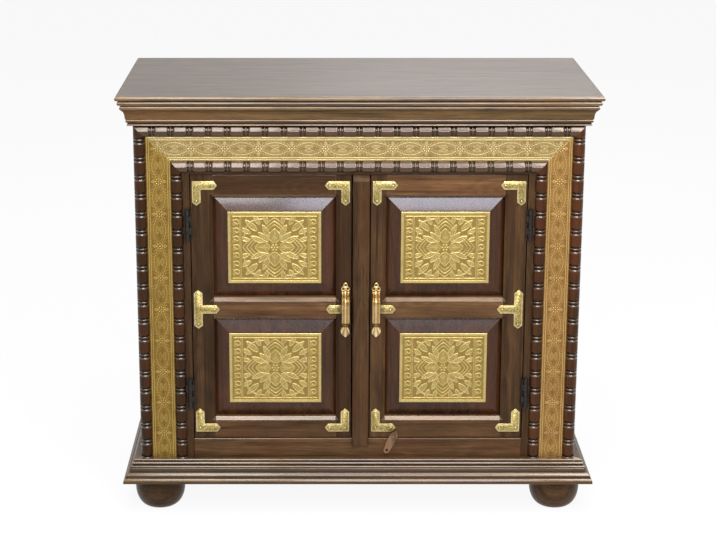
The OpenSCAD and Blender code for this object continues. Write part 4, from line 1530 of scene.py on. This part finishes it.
    def nail_places(self) -> list[Point]:
        """Places the brackets' nails.

        Returns:
            The x and z of each one, in millimetres.
        """
        low, high = (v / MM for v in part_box(self.node("brackets")))
        outer, inner = (high.x, low.x) if self.hand > 0 else (low.x, high.x)
        turn = -self.hand
        places = []
        near, far = self.nail_in, self.nail_out
        for z, up in ((low.z, 1), (high.z, -1)):
            for x, way in ((outer, turn), (inner, -turn)):
                places += [(x + way * a, z + up * b) for a, b in ((near, near), (far, near), (near, far))]
        mid = sum(corner.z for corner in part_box(self.node("middle_rail"))) / 2 / MM
        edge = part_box(self.node("meeting_stile"))[0 if self.hand > 0 else 1].x / MM
        return places + [(outer + turn * near, mid + self.tee_half), (outer + turn * near, mid - self.tee_half),
                         (outer + turn * (far + 1), mid), (edge + self.hand * far, mid)]


@dataclass(frozen=True)
class Handle:
    """A cast pull: a leaf-shaped upper end, a fluted grip that bows off the door, and a fan-shaped lower end."""

    door: Door
    sides: int = 48
    levels: int = 130
    rod: float = 2.2
    grip_swell: float = 2.6
    stand: float = 20.0
    bow_half: float = 39.0
    bow_rise: float = 18.0
    groove_depth: float = 0.7
    ridge_height: float = 1.0
    ground_tone: float = 0.2
    back_tone: float = 0.1
    worn_from: float = 10.0
    worn_over: float = 16.0
    worn_drop: float = 0.32
    worn_rise: float = 0.2
    nails: tuple[Point, ...] = ((52.0, -0.4), (-43.0, 0.5))
    nail_radius: float = 1.4
    nail_out: float = 4.2

    @staticmethod
    def half_width(z: float) -> float:
        """Measures half its width.

        Args:
            z: Millimetres above its middle.

        Returns:
            Millimetres.
        """
        stations = [-58.5, -57.8, -56, -53, -49.5, -46, -42, -38.6, -36, -34, -31, -27, 0, 24, 30, 34, 37, 40.5,
                    44, 46.5, 48.5, 50.5, 53, 55.5, 57.6, 58.5]
        widths = [0.4, 3.2, 5.6, 8.2, 9.9, 10.4, 10.0, 8.4, 6.2, 6.4, 8.2, 8.6, 8.3, 8.4, 8.2, 8.0, 8.4, 9.3,
                  9.6, 8.8, 7.0, 6.0, 5.8, 5.0, 3.0, 0.4]
        return float(np.interp(z, stations, widths))

    def bow(self, z: float) -> float:
        """Measures how far its middle line stands off the door.

        Args:
            z: Millimetres above its middle.

        Returns:
            Millimetres.
        """
        rise = clamp((self.bow_half - abs(z)) / self.bow_rise)
        return self.rod + (self.stand - self.rod) * rise * rise * (3 - 2 * rise)

    def build(self) -> None:
        """Shapes a closed rod into the handle and nails it through both ends."""
        node = self.door.node("handle")
        low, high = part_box(node)
        middle = Vector(((low.x + high.x) / 2, high.y, (low.z + high.z) / 2))
        half = (high.z - low.z) / 2 / MM
        bm = bmesh.new()
        bmesh.ops.create_cone(bm, cap_ends=True, segments=self.sides, radius1=1, radius2=1, depth=2)
        upright = [e for e in bm.edges if abs(e.verts[0].co.z - e.verts[1].co.z) > 1]
        bmesh.ops.subdivide_edges(bm, edges=upright, cuts=self.levels, use_grid_fill=False)
        tone = bm.verts.layers.float.new(RELIEF)
        for vert in bm.verts:
            z = vert.co.z * half
            across, out = vert.co.x, -vert.co.y
            width = self.half_width(z)
            thick = self.rod + self.grip_swell * clamp((40 - abs(z)) / 10)
            crease = self.relief(across * width, z)
            cast = max(out, 0.0) * ((self.groove_depth + self.ridge_height) * crease - self.groove_depth)
            vert.co = (across * width * MM, -(self.bow(z) + out * thick + cast) * MM, z * MM)
            worn = clamp((z - self.worn_from) / self.worn_over)
            low_tone = self.ground_tone - self.worn_drop * worn
            high_tone = 1 - self.ground_tone + self.worn_rise * worn
            vert[tone] = low_tone + high_tone * crease if out > 0 else self.back_tone
        bmesh.ops.smooth_vert(bm, verts=bm.verts, factor=0.3, use_axis_x=True, use_axis_y=True, use_axis_z=False)
        for vert in bm.verts:
            vert.co.y = min(vert.co.y, 0.0)
        shift(bm, middle)
        for z, shine in self.nails:
            place = (middle.x, middle.y - self.nail_out * MM, middle.z + z * MM)
            join(bm, nail(place, self.nail_radius, shine, shine))
        settle(bm, node + "_cast", Role(self.door.body, "cast_brass", (node,)), PULL.material(), sharp=60)

    @staticmethod
    def relief(x: float, z: float) -> float:
        """Draws the casting's ridges: a three-lobed leaf above, a fluted grip and a fan below.

        Args:
            x: Millimetres from its middle line.
            z: Millimetres above its middle.

        Returns:
            1 on a ridge, 0 in a groove.
        """
        if z < -36:
            fan = 0.6 + 0.4 * math.cos(13 * math.atan2(x, -z - 31))
            return fan * min(1.0, (-36 - z) / 2)
        scallop = math.exp(-(((z + 31) / 2.2) ** 2)) * (0.5 - 0.5 * math.cos(2 * math.pi * x / 4.0))
        flutes = max(math.exp(-(((x + 0.6) / 1.3) ** 2)), 0.75 * math.exp(-(((abs(x) - 7.4) / 1.6) ** 2)), 0.2)
        grip = flutes * min(clamp((42 - z) / 4), (z + 36) / 2) - 0.6 * scallop
        lobes = 0.0
        for lobe_x, lobe_z in ((0.0, 52.0), (-4.9, 44.5), (4.9, 44.5)):
            far = math.hypot(x - lobe_x, z - lobe_z)
            lobes = max(lobes, math.exp(-(((far - 4.0) / 1.5) ** 2)) * clamp((z - 38) / 3))
        return clamp(max(grip, lobes))


@dataclass(frozen=True)
class TurnButton:
    """The small raw-wood button at the foot of the right door, and its brad."""

    ease: float = 0.7
    hole: Point = (60.4, 133.9)
    hole_radius: float = 2.2
    rim: float = 1.5
    hole_painted_shade: float = 0.15

    def build(self) -> None:
        """Eases the button's edges, sinks its hole's rim, paints shade into the hole and finishes its brad."""
        bm = merged("turn_button")
        front = min(v.co.y for v in bm.verts)
        bevel(bm, [e for e in bm.edges
                   if all(v.co.y < front + MERGE and self.off_hole(v) < 0.3 for v in e.verts)], self.rim, 2)
        soften(bm, self.ease, 3)
        # Painted shade: the hole's wall and sunk rim get a nearly black copy of the walnut.
        for face in bm.faces:
            face.material_index = int(all(self.off_hole(v) < self.rim + 0.2 for v in face.verts))
        settle(bm, "turn_button_whittled", Role("turn_button", "raw_wood", ("turn_button",)),
               Wood(RAW, Grain.UPRIGHT, 3).material(), sharp=FLAT,
               accents=(Wood(WALNUT, Grain.UPRIGHT, 9, self.hole_painted_shade).material(),))
        dress("button_brad", iron_material(rusted=True))

    def off_hole(self, vert: bmesh.types.BMVert) -> float:
        """How far a point stands outside the open hole's wall, in millimetres."""
        return math.hypot(vert.co.x / MM - self.hole[0], vert.co.z / MM - self.hole[1]) - self.hole_radius


# ---- Studio


@dataclass(frozen=True)
class Lamp:
    """A softbox."""

    name: str
    place: Point3
    target: Point3
    size: Point
    radiance: float
    tint: str = "ffffff"

    def build(self) -> None:
        """Hangs the softbox and turns it to its target."""
        light = bpy.data.lights.new(self.name, "AREA")
        light.shape = "RECTANGLE"
        light.size, light.size_y = self.size
        light.energy = self.radiance * math.pi * self.size[0] * self.size[1]
        light.color = colour(self.tint)[:3]
        lamp = put(self.name, light)
        lamp.location = self.place
        lamp.rotation_euler = (Vector(self.target) - Vector(self.place)).to_track_quat("-Z", "Y").to_euler()


@dataclass(frozen=True)
class Studio:
    """The floor, the light and the camera."""

    camera_place: Point3 = (-0.072, -3.739, 1.5526)
    pitch: float = 14.76
    lens: float = 91.46
    frame_shift: Point = (0.0488, -0.065)
    ambient: float = 0.25
    floor_glow: float = 0.92
    lamps: tuple[Lamp, ...] = (
        Lamp("front_softbox", (0.28, -3.15, 2.12), (0.2, -0.2, 0.6), (0.95, 0.7), 13.0, "e6edff"),
        Lamp("upper_softbox", (0.28, -2.3, 3.0), (0.2, -0.2, 0.6), (0.95, 0.9), 5.5),
        Lamp("left_softbox", (-0.5, -2.5, 2.85), (-0.35, -0.2, 0.6), (0.55, 2.4), 12.5),
        Lamp("right_softbox", (1.0, -2.5, 2.85), (0.6, -0.2, 0.6), (0.45, 2.4), 17.0),
        Lamp("near_overhead", (0.05, -0.95, 3.4), (0.05, -0.95, 0.6), (2.3, 0.6), 9.0),
        Lamp("left_overhead", (-0.72, -0.1, 3.4), (-0.72, -0.1, 0.6), (0.6, 1.1), 8.0),
        Lamp("right_overhead", (0.95, -0.1, 3.4), (0.95, -0.1, 0.6), (0.55, 1.1), 8.0),
        Lamp("middle_overhead", (0.12, -0.1, 3.4), (0.12, -0.1, 0.6), (1.05, 1.1), 2.0),
        Lamp("rear_softbox", (0.6, 3.2, 2.9), (0.0, 0.2, 0.5), (1.6, 1.4), 3.5),
    )

    def build(self) -> None:
        """Builds the whole studio."""
        self.floor()
        self.world()
        self.camera()
        for lamp in self.lamps:
            lamp.build()
        bpy.context.scene.view_settings.view_transform = "Standard"

    @staticmethod
    def seen(bench: Bench) -> Socket:
        """Tells the rays that should see white from the rest.

        Args:
            bench: The nodes that it is added to.

        Returns:
            1 for a ray from the camera, a mirror or glass, and 0 for the rest.
        """
        rays = bench.add("LightPath").outputs
        both = bench.sums("MAXIMUM", rays["Is Camera Ray"], rays["Is Glossy Ray"])
        return bench.sums("MAXIMUM", both, rays["Is Transmission Ray"])

    def floor(self) -> None:
        """Lays a pale floor that keeps a soft shadow."""
        bm = bmesh.new()
        bmesh.ops.create_grid(bm, x_segments=1, y_segments=1, size=15)
        mesh = bpy.data.meshes.new("floor")
        bm.to_mesh(mesh)
        bm.free()
        bench = Bench(bpy.data.materials.new("pale_floor"))
        paint = bench.add("BsdfDiffuse", {"Color": (0.86, 0.86, 0.86, 1)})
        glow = bench.add("Emission", {"Color": (1, 1, 1, 1), "Strength": 1.0})
        share = bench.sums("MULTIPLY", self.seen(bench), self.floor_glow)
        both = bench.add("MixShader", {0: share, 1: paint.outputs[0], 2: glow.outputs[0]})
        bench.add("OutputMaterial", {"Surface": both.outputs[0]})
        mesh.materials.append(bench.owner)
        floor = put("floor", mesh)
        floor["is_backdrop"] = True

    def world(self) -> None:
        """Sets a white backdrop and a soft, dimmer fill."""
        world = bpy.data.worlds.new("studio")
        bpy.context.scene.world = world
        bench = Bench(world)
        strength = bench.remap(self.seen(bench), 0, 1, self.ambient, 1.0)
        light = bench.add("Background", {"Color": (1, 1, 1, 1), "Strength": strength})
        bench.add("OutputWorld", {"Surface": light.outputs[0]})

    def camera(self) -> None:
        """Sets the camera at the photo's height and tilt."""
        data = bpy.data.cameras.new("camera")
        data.lens = self.lens
        data.sensor_width = 36.0
        data.shift_x, data.shift_y = self.frame_shift
        data.clip_end = 60.0
        camera = put("camera", data)
        camera.location = self.camera_place
        camera.rotation_euler = (math.radians(90 - self.pitch), 0, 0)
        bpy.context.scene.camera = camera


def write_sizes() -> None:
    """Lists the corners of the solids' box and of the finished cabinet's box, and keeps neither."""
    [[list(corner) for corner in box] for box in (SOLID_BOX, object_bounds())]


def main() -> None:
    """Builds the cabinet and its studio."""
    logging.basicConfig(level=logging.INFO, format="%(message)s")
    left = Door("left", -1, 50, top_tone=0.65, hinge_tone=0.6, meeting_tone=0.5, knot=(-0.092, 0.69))
    right = Door("right", 1, 60, top_tone=1.65, hinge_tone=0.72, meeting_tone=1.0, knot=(0.293, 0.69))
    for part in (Carcass(), TopBoard(), crown(), base(), Bobbins(), Foot(), BrassBands(), left, right,
                 TurnButton(), Studio()):
        part.build()


if __name__ == "__main__":
    main()
    write_sizes()
